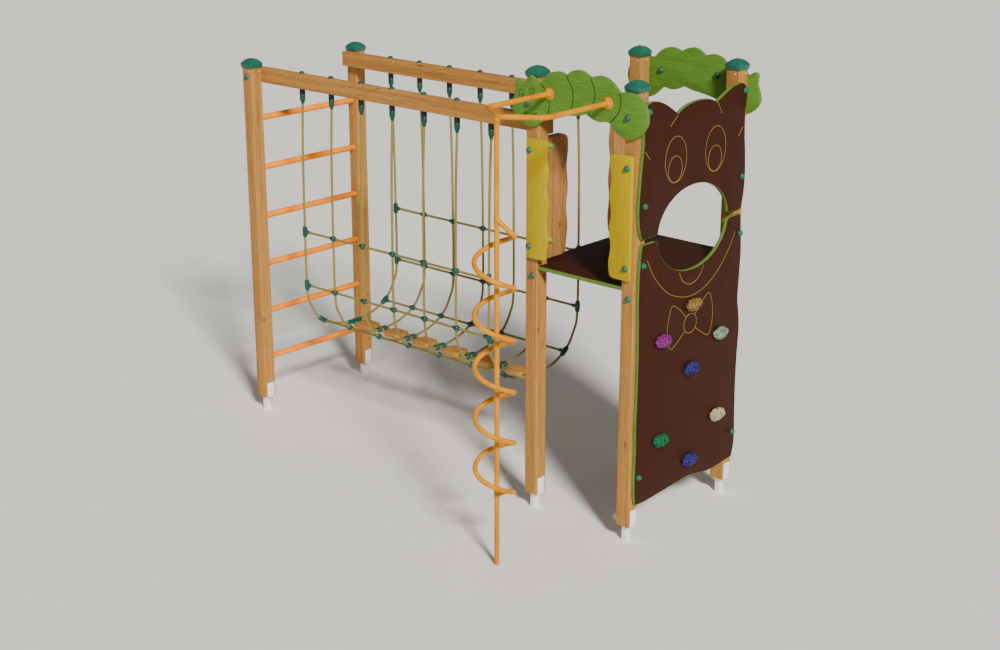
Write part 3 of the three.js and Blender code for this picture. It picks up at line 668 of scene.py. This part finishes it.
# ------------------------------------------------------------------ net
HANG_D = YM - (45.3 + 22.5)
HALF = [(HANG_D, 2216), (414, 1900), (421.5, 1343), (420.5, 975), (409.5, 868), (384.5, 818), (347.5, 755), (294.5, 703),
        (232, 669), (167.5, 645), (90, 630), (29.5, 620.5)]
prof_yz = [(YM - d, z) for d, z in HALF] + [(YM + d, z) for d, z in reversed(HALF)]
rib_curve = catmull([(0, y, z) for y, z in prof_yz], 14)


def rib_points(x):
    return resample([P(x, p.y, p.z) for p in rib_curve], 0.009)


def rib_dir(y, z):
    k = min(range(1, len(rib_curve) - 1), key=lambda i: (rib_curve[i].y - y) ** 2 + (rib_curve[i].z - z) ** 2)
    d = rib_curve[k + 1] - rib_curve[k - 1]
    return Vector((0, d.y, d.z)).normalized()


NUT = [(0, 0.3), (18.5, 0.3), (18.5, 3.2), (16.8, 4.4), (15.6, 8), (12.5, 12.6), (7.5, 15.4), (3.2, 16.2), (0, 16.3)]
for i, x in enumerate(RIBX):
    g = Part()
    g.rope(rib_points(x))
    for y in (YM - HANG_D, YM + HANG_D):
        # hanger: teal lower part; the black upper part right under the beam is painted shade from the beam
        g.lathe(P(x, y, 2290), (0, 0, 1), [(0, -79.5), (12, -79.5), (15.5, -77.5), (18, -72), (18.6, -60), (18.6, -36), (17.2, -34), (0, -34)], 28, 1)
        g.lathe(P(x, y, 2290), (0, 0, 1), [(0, -34.6), (17.2, -34.4), (18.6, -32), (18.6, -6), (17, -1.5), (14, -0.4), (0, -0.4)], 28, 2)
        g.lathe(P(x, y, 2390), (0, 0, 1), NUT, 24, 1)
        g.lathe(P(x, y, 2210), (0, 0, 1), [(0, -15), (10.6, -15), (12, -12), (12.6, 4), (0, 4)], 20, 1)
    node = ["net_rib_rope_%d" % (i + 1)] if i else ["net_floor_ropes"]
    g.obj(f"rib_rope_{i + 1}", [ROPE, TEAL_DARK, PAINTED_SHADE_BLACK], node, angle=60)


def straight(a, b, step=0.009):
    return resample([a, b], step)


def ball(g, x, y, z, out, mi=1):
    """two-shell ball clamp: seam at the middle, screw recess, sleeves on the lengthwise rope"""
    R = 20
    prof = [(0, -R + 3), (4.4, -R + 3), (4.8, -R + 0.8)]
    for k in range(1, 12):
        a = math.pi * k / 12
        r, h = R * math.sin(a), -R * math.cos(a)
        if k == 6:
            prof += [(R, -1.4), (R - 1.1, -0.7), (R - 1.1, 0.7), (R, 1.4)]
        elif 1 < k < 11:
            prof.append((r, h))
    prof += [(4.8, R - 0.8), (4.4, R - 3), (0, R - 3)]
    g.lathe(P(x, y, z), out, prof, 24, mi)
    for s in (-1, 1):
        g.lathe(P(x + s * 12, y, z), (s, 0, 0), [(0, 0), (11.8, 0), (11.8, 13), (10.6, 15.5), (0, 15.5)], 18, mi)


def tee(g, x, y, z, along, s, half=36, mi=1, stubs=((0, 0),)):
    """T fitting: ribbed bar along the rib and a stub over the end of the lengthwise rope"""
    h = half
    prof = [(0, -h), (11, -h), (13.4, -h + 2), (14, -h + 5), (14, -h + 9), (16.6, -h + 11), (16.9, -6), (17.4, 0), (16.9, 6),
            (16.6, h - 11), (14, h - 9), (14, h - 5), (13.4, h - 2), (11, h), (0, h)]
    g.lathe(P(x, y, z), along, prof, 24, mi)
    for dy, dz in stubs:
        g.lathe(P(x + s * 8, y + dy, z + dz), (s, 0, 0), [(0, 0), (14.5, 0), (14, 16), (12.2, 18), (11.8, 34), (10.6, 36), (0, 36)], 20, mi)


x0, x1 = RIBX[0] - 3, RIBX[6] + 3
SIDE = [("upper", 421.5, 1343, "net_side_rope_%s_upper"), ("lower", 420.5, 975, "net_side_rope_%s_lower")]
for nm, d, z, node in SIDE:
    for sgn, sd in ((-1, "front"), (1, "back")):
        y = YM + sgn * d
        g = Part()
        g.rope(straight(P(x0, y, z), P(x1, y, z)))
        for i, x in enumerate(RIBX):
            if i in (0, 6):
                tee(g, x, y, z, rib_dir(y, z), 1 if i == 0 else -1)
            else:
                ball(g, x, y, z, (0, sgn, 0))
        g.obj(f"side_rope_{sd}_{nm}", [ROPE, SHADED_TEAL_NET], [node % sd], angle=50)
for sgn, sd in ((-1, "front"), (1, "back")):
    y, z = YM + sgn * 294.5, 703
    g = Part()
    g.rope(straight(P(x0, y, z), P(x1, y, z)))
    out = Vector((0, sgn * 0.62, -0.78))
    for i, x in enumerate(RIBX):
        if i in (0, 6):
            tee(g, x, y, z, rib_dir(y, z), 1 if i == 0 else -1)
        else:
            ball(g, x, y, z, out)
    g.obj(f"corner_rope_{sd}", [ROPE, SHADED_TEAL_NET], ["net_floor_ropes"], angle=50)

TREADX = [(RIBX[i] + RIBX[i + 1]) / 2 for i in range(6)]
for sgn, sd in ((-1, "front"), (1, "back")):
    y, zu = YM + sgn * 29.5, 620.5
    g = Part()
    g.rope(straight(P(x0, y, zu), P(x1, y, zu)), r=0.0080)
    for i, x in enumerate(RIBX):
        if i not in (0, 6):
            ball(g, x, y, zu, (0, 0, 1))
    g.obj(f"floor_rope_{sd}", [ROPE, SHADED_TEAL_NET], ["net_floor_ropes"], angle=50)
g = Part()
for i, s in ((0, 1), (6, -1)):
    tee(g, RIBX[i], YM, 620.5, (0, 1, 0), s, 64, 0, ((-29.5, 0), (29.5, 0)))
g.obj("floor_rope_end_bars", [SHADED_TEAL_NET], ["net_floor_ropes"], angle=50)

for i, x in enumerate(TREADX):
    outline = rrect(x - 71, YM - 62, x + 71, YM + 62, 31, 9)
    cuts = []
    for t in (-1, 1):
        c = Part()
        c.lathe(P(x, YM + t * 29.5, 620.5), (1, 0, 0), [(0, -90), (9.6, -90), (9.6, -30), (9.6, 30), (9.6, 90), (0, 90)], 24, 1)
        cuts.append(c)
        for u in (-1, 1):      # counterbored screws that pin the board on its ropes
            c = Part()
            c.lathe(P(x + u * 44, YM + t * 29.5, 633.5), (0, 0, 1), [(0, -4.2), (6.5, -4.2), (6.5, 6), (0, 6)], 18, 1)
            cuts.append(c)
    prism(outline, lambda u, v, d: P(u, v, 603.5 + d), 30, 5, [WOOD_TREAD, WOOD_TREAD], f"tread_{i + 1}",
          [f"net_tread_{i + 1}"], seg=4, cuts=cuts, angle=40)
    # black screw heads: painted shade for the dark of their counterbores
    g = Part()
    for t in (-1, 1):
        for u in (-1, 1):
            g.lathe(P(x + u * 44, YM + t * 29.5, 629.2), (0, 0, 1), [(0, 0), (5.6, 0), (5.6, 1.0), (4.8, 2.0), (2.4, 2.3), (2.2, 1.0), (0, 1.0)], 16)
    g.obj(f"tread_screws_{i + 1}", PAINTED_SHADE_BLACK)

# ------------------------------------------------------------------ platform
e, q = 43, 45.6
plat = [(-700 + q, -e), (-q, -e), (-q, q), (e, q), (e, Y_B - q), (-q, Y_B - q), (-q, Y_B + e), (-700 + q, Y_B + e), (-700 + q, Y_B - q),
        (-700 - e, Y_B - q), (-700 - e, q), (-700 + q, q)]
prism(plat, lambda u, v, d: P(u, v, 1513 + d), 22, 1.6, [BROWN, LIME_EDGE], "platform", ["platform_board"])


# ------------------------------------------------------------------ bear wall
def runs(list_of_runs, per=6):
    out = []
    for run in list_of_runs:
        pts = [(p.x, p.y) for p in catmull(run, per)] if len(run) > 2 else [tuple(map(float, p)) for p in run]
        for p in pts:
            if not out or math.hypot(p[0] - out[-1][0], p[1] - out[-1][1]) > 0.8:
                out.append(p)
    if math.hypot(out[0][0] - out[-1][0], out[0][1] - out[-1][1]) < 0.8:
        out.pop()
    return out


WY, WZ, WA, WB = 465, 1798, 335, 248
FACE = 45.3


def arc(z_start, z_end, upper):
    """window arc from one side to the other"""
    def at(z):
        return math.asin(max(-1, min(1, (z - WZ) / WB)))
    out = []
    if upper:   # from right to left over the top is math.pi - a
        a0, a1 = math.pi - at(z_start), at(z_end)
    else:
        a0, a1 = at(z_start), -math.pi - at(z_end)
    for k in range(49):
        a = a0 + (a1 - a0) * k / 48
        out.append((WY + WA * math.cos(a), WZ + WB * math.sin(a)))
    return out


UP = [[(936, 1822), (955, 1905), (962, 2008), (953, 2150), (936, 2300), (938, 2395), (948, 2479), (938, 2530), (905, 2554), (858, 2558),
       (800, 2548), (754, 2531), (700, 2507), (645, 2484)],
      [(645, 2484), (595, 2505), (533, 2515), (465, 2517), (393, 2509), (335, 2494), (284, 2470)],
      [(284, 2470), (227, 2506), (165, 2540), (99, 2562), (40, 2566), (5, 2553), (-12, 2510), (-15, 2420), (-16, 2327), (-30, 2200),
       (-42, 2080), (-47, 1964), (-38, 1890), (-20, 1826)]]
upper_outline = runs(UP, 6) + [(-8, 1816), (8, 1814), (118, 1814)] + arc(1824, 1824, True) + [(812, 1813), (920, 1812), (930, 1815)]
LOW = [[(-14, 1770), (-26, 1640), (-30, 1479), (-23, 1300), (-18, 1100), (-19, 900), (-24, 720), (-20, 560), (-25, 390), (-16, 262), (-6, 240)],
       [(-6, 240), (60, 236), (150, 240), (248, 246), (370, 256), (499, 263), (600, 248), (701, 232), (830, 238), (948, 249)],
       [(952, 255), (972, 343), (966, 520), (960, 714), (962, 900), (970, 1095), (958, 1180), (944, 1260), (950, 1420), (955, 1560),
        (946, 1680), (934, 1780)]]
lower_outline = runs(LOW, 6) + [(926, 1784), (824, 1784), (808, 1779)] + arc(1764, 1764, False) + [(122, 1779), (106, 1784), (-6, 1784)]


def wall3(u, v, d):
    return P(FACE + d, u, v)


def line_cut(pts2, to3, depth, r=2.1, closed=False, sides=8):
    """cutter for an engraved line: a round rod along the line, on the surface"""
    c = Part()
    if closed:
        pts = [to3(u, v, depth + 0.5) for u, v in pts2]
        n = len(pts)
        axis = (to3(0, 0, 1) - to3(0, 0, 0)).normalized()
        verts, faces = [], []
        for i in range(n):
            t = (pts[(i + 1) % n] - pts[i - 1]).normalized()
            b = t.cross(axis)
            for j in range(sides):
                a = 2 * math.pi * (j + 0.5) / sides
                verts.append(pts[i] + (axis * math.cos(a) + b * math.sin(a)) * r / 1000)
        for i in range(n):
            for j in range(sides):
                k, l = (i + 1) % n, (j + 1) % sides
                faces.append((i * sides + j, i * sides + l, k * sides + l, k * sides + j))
        c.add(verts, faces, 2)
    else:
        pts = [to3(u, v, depth + 0.5) for u, v in pts2]
        axis = (to3(0, 0, 1) - to3(0, 0, 0)).normalized()
        ring = [(r / 1000 * math.cos(2 * math.pi * (j + 0.5) / sides), r / 1000 * math.sin(2 * math.pi * (j + 0.5) / sides)) for j in range(sides)]
        c.sweep(pts, lambda i, s: ring, 2, up=axis)
    return c


def ell(cy, cz, a, b, n=56, rot=0.0):
    out = []
    for k in range(n):
        t = 2 * math.pi * k / n
        u, v = a * math.cos(t), b * math.sin(t)
        out.append((cy + u * math.cos(rot) - v * math.sin(rot), cz + u * math.sin(rot) + v * math.cos(rot)))
    return out


def c2(pts, per=8):
    return [(p.x, p.y) for p in catmull(pts, per)]


T = 22
up_cuts = []
for s in (-1, 1):
    cy = YM + s * 188
    up_cuts.append(line_cut(ell(cy - 2, 2216, 98, 130), wall3, T, r=1.9, closed=True))
    up_cuts.append(line_cut(ell(cy - 6, 2162, 64, 74), wall3, T, r=1.9, closed=True))
for pts in ([(219, 2408), (250, 2436), (285, 2462)], [(-2, 2305), (20, 2276), (42, 2252)], [(652, 2482), (676, 2452), (700, 2412)],
            [(877, 2252), (896, 2276), (916, 2303)]):
    up_cuts.append(line_cut(c2(pts, 4), wall3, T))
prism(upper_outline, wall3, T, 1.8, [BROWN, LIME_EDGE, TAN_LINE], "bear_wall_upper", ["climbing_wall_upper_panel"], cuts=up_cuts)

low_cuts = [
    line_cut(c2([(40, 1690), (88, 1606), (160, 1522), (260, 1445), (381, 1401), (465, 1390), (560, 1402), (668, 1448), (770, 1528), (838, 1608), (885, 1686)], 6), wall3, T),
    line_cut(c2([(345, 1553), (376, 1500), (443, 1464), (512, 1474), (555, 1508), (578, 1546)], 6), wall3, T),
    line_cut(ell(467, 1224, 62, 58, 40), wall3, T, closed=True),
    line_cut(c2([(424, 1270), (352, 1336), (289, 1367), (256, 1300), (248, 1206), (262, 1140), (286, 1110), (352, 1142), (416, 1186)], 5), wall3, T),
    line_cut(c2([(511, 1270), (583, 1336), (646, 1367), (679, 1300), (687, 1206), (673, 1140), (649, 1110), (583, 1142), (519, 1186)], 5), wall3, T),
]
prism(lower_outline, wall3, T, 1.8, [BROWN, LIME_EDGE, TAN_LINE], "bear_wall_lower", ["climbing_wall_lower_panel"], cuts=low_cuts)

# ------------------------------------------------------------------ holds
HOLDS = [(478, 1338, 73, 38, "hold_tan"), (194, 1187, 70, 41, "hold_magenta"), (762, 1095, 68, 39, "hold_mint"),
         (480, 946, 71, 41, "hold_blue"), (762, 581, 70, 41, "hold_cream"), (198, 582, 70, 41, "hold_green"), (489, 370, 71, 41, "hold_blue")]
for k, (hy, hz, ry, rz, sl) in enumerate(HOLDS):
    bm = bmesh.new()
    bmesh.ops.create_icosphere(bm, subdivisions=5, radius=1.0)
    seed = Vector((7.3 * k + 1.7, 3.1 * k, -2.9 * k))
    for vt in bm.verts:
        p = vt.co.copy()
        f = 1 + 0.16 * noise.noise(p * 1.3 + seed) + 0.09 * noise.noise(p * 3.1 + seed * 2) + 0.03 * noise.noise(p * 8 + seed)
        f += 0.010 * noise.noise(p * 22 + seed)
        x = p.x * 40 * f
        # scooped top edge for the fingers
        x -= 9 * math.exp(-((p.y * 1.4) ** 2 + ((p.z - 0.45) * 2.4) ** 2)) if p.x > 0 else 0
        rr = math.hypot(p.y * ry, p.z * rz)
        if p.x > 0 and rr < 9.5:
            x = min(x, 24 if rr < 8 else 30)
        x = max(x, -5.6)
        q = 1 - 0.14 * max(0.0, 1 - (x + 6) / 16) ** 2
        vt.co = P(FACE + T + 0.3 + 6 + x, hy + p.y * ry * f * q, hz + p.z * rz * f * q)
    me = bpy.data.meshes.new("hold")
    bm.to_mesh(me)
    bm.free()
    o = bpy.data.objects.new(f"hold_{k + 1}", me)
    bpy.context.collection.objects.link(o)
    me.materials.append(HOLD_MAT[sl])
    me.shade_smooth()
    me.set_sharp_from_angle(angle=math.radians(60))
    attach(o, "root")
    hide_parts(f"climbing_hold_{k + 1}")
    g = Part()
    g.lathe(P(FACE + T + 29.5, hy, hz), (1, 0, 0), [(0, -6), (7.4, -6), (7.4, 0.6), (6.6, 1.6), (3.6, 1.6), (3.4, -1.2), (0, -1.2)], 20)
    g.obj(f"hold_bolt_{k + 1}", STEEL)

# ------------------------------------------------------------------ bug panels
BUG = [
    [(-109, 2568), (-111, 2590), (-100, 2605), (-83, 2607), (-68, 2598), (-57, 2588)],
    [(-57, 2588), (-38, 2591), (-20, 2600)],
    [(-20, 2600), (-10, 2624), (10, 2638), (32, 2626), (58, 2602)],
    [(58, 2602), (83, 2600)],
    [(83, 2600), (112, 2641), (147, 2667), (190, 2678), (233, 2675), (260, 2665)],
    [(260, 2665), (294, 2690), (339, 2703), (381, 2697), (416, 2681), (433, 2673)],
    [(433, 2673), (464, 2684), (498, 2689), (539, 2683), (581, 2661), (612, 2632), (632, 2615)],
    [(632, 2615), (665, 2621), (703, 2623), (736, 2616), (770, 2594), (804, 2561), (821, 2521), (820, 2467), (799, 2427), (763, 2392),
     (710, 2371), (656, 2375), (615, 2395), (587, 2420), (566, 2440)],
    [(566, 2440), (538, 2445), (504, 2439), (462, 2443), (427, 2457), (404, 2468)],
    [(404, 2468), (350, 2454), (258, 2440), (186, 2424), (114, 2404)],
    [(114, 2404), (85, 2380), (48, 2357), (4, 2347), (-41, 2357), (-78, 2378), (-108, 2403), (-124, 2427), (-131, 2454), (-127, 2482),
     (-117, 2510), (-107, 2540), (-109, 2568)],
]
BUG_LINES = [
    [(83, 2596), (112, 2567), (138, 2520), (142, 2470), (132, 2425)],
    [(262, 2662), (298, 2611), (313, 2558), (307, 2508), (293, 2474)],
    [(434, 2669), (459, 2614), (466, 2577), (453, 2532), (433, 2491), (420, 2464)],
    [(634, 2611), (641, 2551), (626, 2506), (599, 2470), (572, 2446)],
    [(-41, 2422), (-18, 2412), (8, 2413), (32, 2421), (55, 2433)],
]


def bug_panel(name, node, head, sgn, face_front):
    # outline in (x, z); the face looks to -Y on the front panel and to +Y on the back one
    out = [(head + sgn * u, v) for u, v in runs(BUG, 5)]
    if face_front:
        to3 = lambda u, v, d: P(u, -45.3 - d, v)
    else:
        to3 = lambda u, v, d: P(u, 980.3 + d, v)
    cuts = [line_cut([(head + sgn * u, v) for u, v in c2(l, 6)], to3, T, 3.0) for l in BUG_LINES]
    for eu, ev, ea, eb in ((-61, 2526, 17, 24), (14, 2543, 17, 24)):
        cuts.append(line_cut(ell(head + sgn * eu, ev, ea, eb, 28), to3, T, 2.2, closed=True))
        cuts.append(line_cut(ell(head + sgn * (eu + 3), ev - 8, ea * 0.45, eb * 0.42, 20), to3, T, 2.2, closed=True))
    # pockets for the caps behind the panel
    for px in (-700, 0):
        c = Part()
        w = 54.0
        yy = (-54.2, 20) if face_front else (915, 989.2)
        vs = [P(px + a * w, b, z) for z in (2622, 2740) for a, b in ((-1, yy[0]), (1, yy[0]), (1, yy[1]), (-1, yy[1]))]
        c.add(vs, [(0, 3, 2, 1), (4, 5, 6, 7), (0, 1, 5, 4), (1, 2, 6, 5), (2, 3, 7, 6), (3, 0, 4, 7)], 1)
        cuts.append(c)
    prism(out, to3, T, 2.2, [LIME, LIME_EDGE, LIME_LINE], name, [node], cuts=cuts)


bug_panel("bug_front", "bug_panel_front", -700, 1, True)
bug_panel("bug_back", "bug_panel_back", 0, -1, False)


# ------------------------------------------------------------------ wavy boards
def wavy(edge, post, z0, z1, amp, waves, phase, R=20, n=64):
    s = 1 if edge > post else -1
    pts = []
    for i in range(n + 1):
        t = i / n
        end = min(t, 1 - t) * (z1 - z0)
        rd = R - math.sqrt(max(0, R * R - (R - end) ** 2)) if end < R else 0
        pts.append((edge - s * (rd + amp * (1 + math.sin(2 * math.pi * waves * t + phase))), z0 + t * (z1 - z0)))
    pts += [(post + s * 8, z1), (post + s * 2.5, z1 - 2.5), (post, z1 - 8), (post, z0 + 8), (post + s * 2.5, z0 + 2.5), (post + s * 8, z0)]
    return pts


front3 = lambda u, v, d: P(u, -45.3 - d, v)
prism(wavy(-571, -720, 1582, 2280, 6, 3.6, 0.6), front3, T, 2.0, [YELLOW, YELLOW], "entrance_board_left", ["entrance_side_panel_left"])
prism(wavy(-122, 25, 1582, 2280, 6, 3.6, 2.2), front3, T, 2.0, [YELLOW, YELLOW], "entrance_board_right", ["entrance_side_panel_right"])
side3 = lambda u, v, d: P(-722.5 + d, u, v)
prism(wavy(252, 45.4, 1550, 2268, 6, 3, 0.4, 40), side3, 45, 5, [WOOD_BOARD, WOOD_BOARD], "doorway_board_front", ["net_opening_board_front"], seg=4)
prism(wavy(Y_B - 258, Y_B - 45.4, 1560, 2268, 6, 3, 1.6, 40), side3, 45, 5, [WOOD_BOARD, WOOD_BOARD], "doorway_board_back", ["net_opening_board_back"], seg=4)

# ------------------------------------------------------------------ spiral climber
g = Part()
PX, PY, R = -341, -741, 0.014
g.lathe(P(PX, PY, 0), (0, 0, 1), [(0, 0), (13, 0), (14.4, 1.5), (14.4, 1200), (14.4, 2546), (0, 2546)], 32)
a0 = math.atan2(0.668, 0.744)


def hel(r, da, z):
    return P(-351 + r * math.cos(a0 + da), -749 + r * math.sin(a0 + da), z)


pts = [P(PX, PY, 1914 + 92), hel(32, -0.25, 1914 + 74), hel(70, -0.2, 1914 + 38), hel(98, -0.12, 1914 + 12)]
N = 48
hx = [hel(108, 2 * math.pi * i / N, 1914 - 294 * i / N) for i in range(N * 5 + 1)]
ze = 1914 - 294 * 5
tail = [hel(98, 0.3, ze - 10), hel(66, 0.55, ze - 14), P(PX, PY, ze - 16)]
lead = catmull(pts + [hx[0], hx[4]], 8)
k = len(pts) * 8
lead = lead[:k + 1]
end = catmull([hx[-5], hx[-1]] + tail, 8)[8:]
g.tube(lead[:-1] + hx[:-1] + end, R, 20)
y0 = -45.3 - T - 0.3
Fp = [(-556, y0), (-548, -588), (PX, PY), (-127, -592), (-143, y0)]
plan = [Vector((Fp[0][0], Fp[0][1], 0))]
for i in (1, 2, 3):
    p = Vector((Fp[i][0], Fp[i][1], 0))
    u = (Vector((Fp[i - 1][0], Fp[i - 1][1], 0)) - p).normalized()
    w = (Vector((Fp[i + 1][0], Fp[i + 1][1], 0)) - p).normalized()
    kk = 30 if i == 2 else 58
    qa, qb = p + u * kk, p + w * kk
    for j in range(13):
        t = j / 12
        plan.append(qa * (1 - t) ** 2 + p * (2 * t * (1 - t)) + qb * t ** 2)
plan.append(Vector((Fp[4][0], Fp[4][1], 0)))
g.tube([P(p.x, p.y, 2550) for p in plan], 0.0152, 24)
for bx_ in (Fp[0][0], Fp[4][0]):
    g.lathe(P(bx_, y0, 2550), (0, -1, 0), [(0, 0), (33, 0), (34.5, 1.2), (34.5, 4.6), (33, 6), (24, 6.8), (21, 9), (19, 14), (17.2, 18), (15.4, 20), (0, 20)], 36)
    # shiny ball cap of the fixing bolt, above the tube
    g.lathe(P(bx_ + 3, y0 - 12, 2565), (0, -0.25, 0.97), [(0, -6), (13, -6), (15, -2), (15.5, 3), (13.6, 9.5), (9, 14.4), (4, 16.6), (0, 17)], 28)
# weld collars where the coil leaves and meets the pole
for zc in (1914 + 92, ze - 16):
    g.lathe(P(PX, PY, zc), (0, 0, 1), [(0, -20), (14.6, -20), (16.2, -17), (16.6, 0), (16.2, 17), (14.6, 20), (0, 20)], 28)
g.lathe(P(PX, PY, 2534), (0, 0, 1), [(0, -16), (15, -16), (17.6, -12), (17.8, 8), (16, 14), (0, 14)], 28)
g.obj("spiral_climber_tube", TUBE, ["spiral_climber"], angle=50)

# ------------------------------------------------------------------ bolt covers
COVER = [(0, -0.2), (18, -0.2), (18.6, 1.2), (18.2, 3.2), (16.4, 4.6), (15.6, 7), (14.4, 11), (11.6, 14.6), (7.4, 16.8), (4.2, 17.2), (3.6, 16.2), (0, 16.0)]
covers = []
for y, z in ((21, 2516), (925, 2510), (4, 2001), (929, 2008), (5, 1666), (935, 1665), (14, 405), (946, 411)):
    covers.append((P(FACE + T, y, z), (1, 0, 0), TEAL))
for x, z in ((-703, 2212), (-703, 1650), (-5, 2212), (-5, 1650), (-712, 2478), (-7, 2487)):
    covers.append((P(x, -45.3 - T, z), (0, -1, 0), TEAL))
for x, z in ((-693, 1472), (4, 1472), (-3170, 2335)):
    covers.append((P(x, -45, z), (0, -1, 0), TEAL))
for x, z in ((12, 2478), (-693, 2487)):
    covers.append((P(x, 980.3 + T, z), (0, 1, 0), TEAL))
for x, z in ((-700, 1472), (0, 1472), (-3170, 2335)):
    covers.append((P(x, 980, z), (0, 1, 0), TEAL))
for x, z in ((-573, 2545), (-169, 2562)):
    covers.append((P(x, 980.3, z), (0, -1, 0), TEAL))
    covers.append((P(x, -45.3, z - 25), (0, 1, 0), TEAL))
for y in (90, 845):
    for z in (2217, 1659):
        covers.append((P(-677.5, y, z), (1, 0, 0), GREEN_CAP))
        covers.append((P(-722.5, y, z), (-1, 0, 0), GREEN_CAP))
for i, (p, ax, mt) in enumerate(covers):
    g = Part()
    g.lathe(p, ax, COVER, 28)
    g.obj(f"bolt_cover_{i + 1:02d}", mt, angle=50)

# small pins that hold the caps
for pid, px, py, capz in POSTS:
    g = Part()
    for ax, ay in ((0, -1), (1, 0), (0, 1), (-1, 0)):
        g.lathe(P(px + ax * 44.8 + (18 if ay else 0), py + ay * 44.8 + (18 if ax else 0), capz - 22), (ax, ay, 0), [(0, 0), (4, 0), (3.8, 1.4), (2.4, 2.4), (0, 2.7)], 12)
    g.obj("cap_pins_" + pid, STEEL)

# ------------------------------------------------------------------ floor and light
fl = bpy.data.meshes.new("floor")
S = 60
fl.from_pydata([(-S, -S, 0), (S, -S, 0), (S, S, 0), (-S, S, 0)], [], [(0, 1, 2, 3)])
floor = bpy.data.objects.new("floor", fl)
bpy.context.collection.objects.link(floor)
fm = Mat("floor_pale", 0.9, spec=0.2)
fn = fm.noise(fm.mapped((3, 3, 3)), 1.0, 3, 0.5)
fm.color(fm.ramp(fn, [(0.2, (0.93, 0.90, 0.84, 1)), (0.8, (0.96, 0.94, 0.89, 1))]))
fl.materials.append(fm.m)
floor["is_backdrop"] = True

world = bpy.data.worlds.new("studio")
bpy.context.scene.world = world
world.use_nodes = True
world.node_tree.nodes["Background"].inputs["Color"].default_value = (1.0, 1.0, 1.0, 1)
world.node_tree.nodes["Background"].inputs["Strength"].default_value = 0.12


def sun(name, direction, strength, angle, color=(1, 1, 1)):
    l = bpy.data.lights.new(name, "SUN")
    l.energy, l.angle, l.color = strength, math.radians(angle), color
    o = bpy.data.objects.new(name, l)
    bpy.context.collection.objects.link(o)
    d = Vector(direction).normalized()
    o.location = d * 8
    o.rotation_euler = (-d).to_track_quat("-Z", "Y").to_euler()


sun("key", (1.45, -0.82, 1.15), 4.9, 9, (1.0, 0.985, 0.96))
sun("fill", (-0.2, -0.9, 1.0), 0.18, 60)
sun("back", (-0.6, 1.0, 0.9), 0.12, 60)

{"cad": CAD_BOX, "visual": plain(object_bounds())}
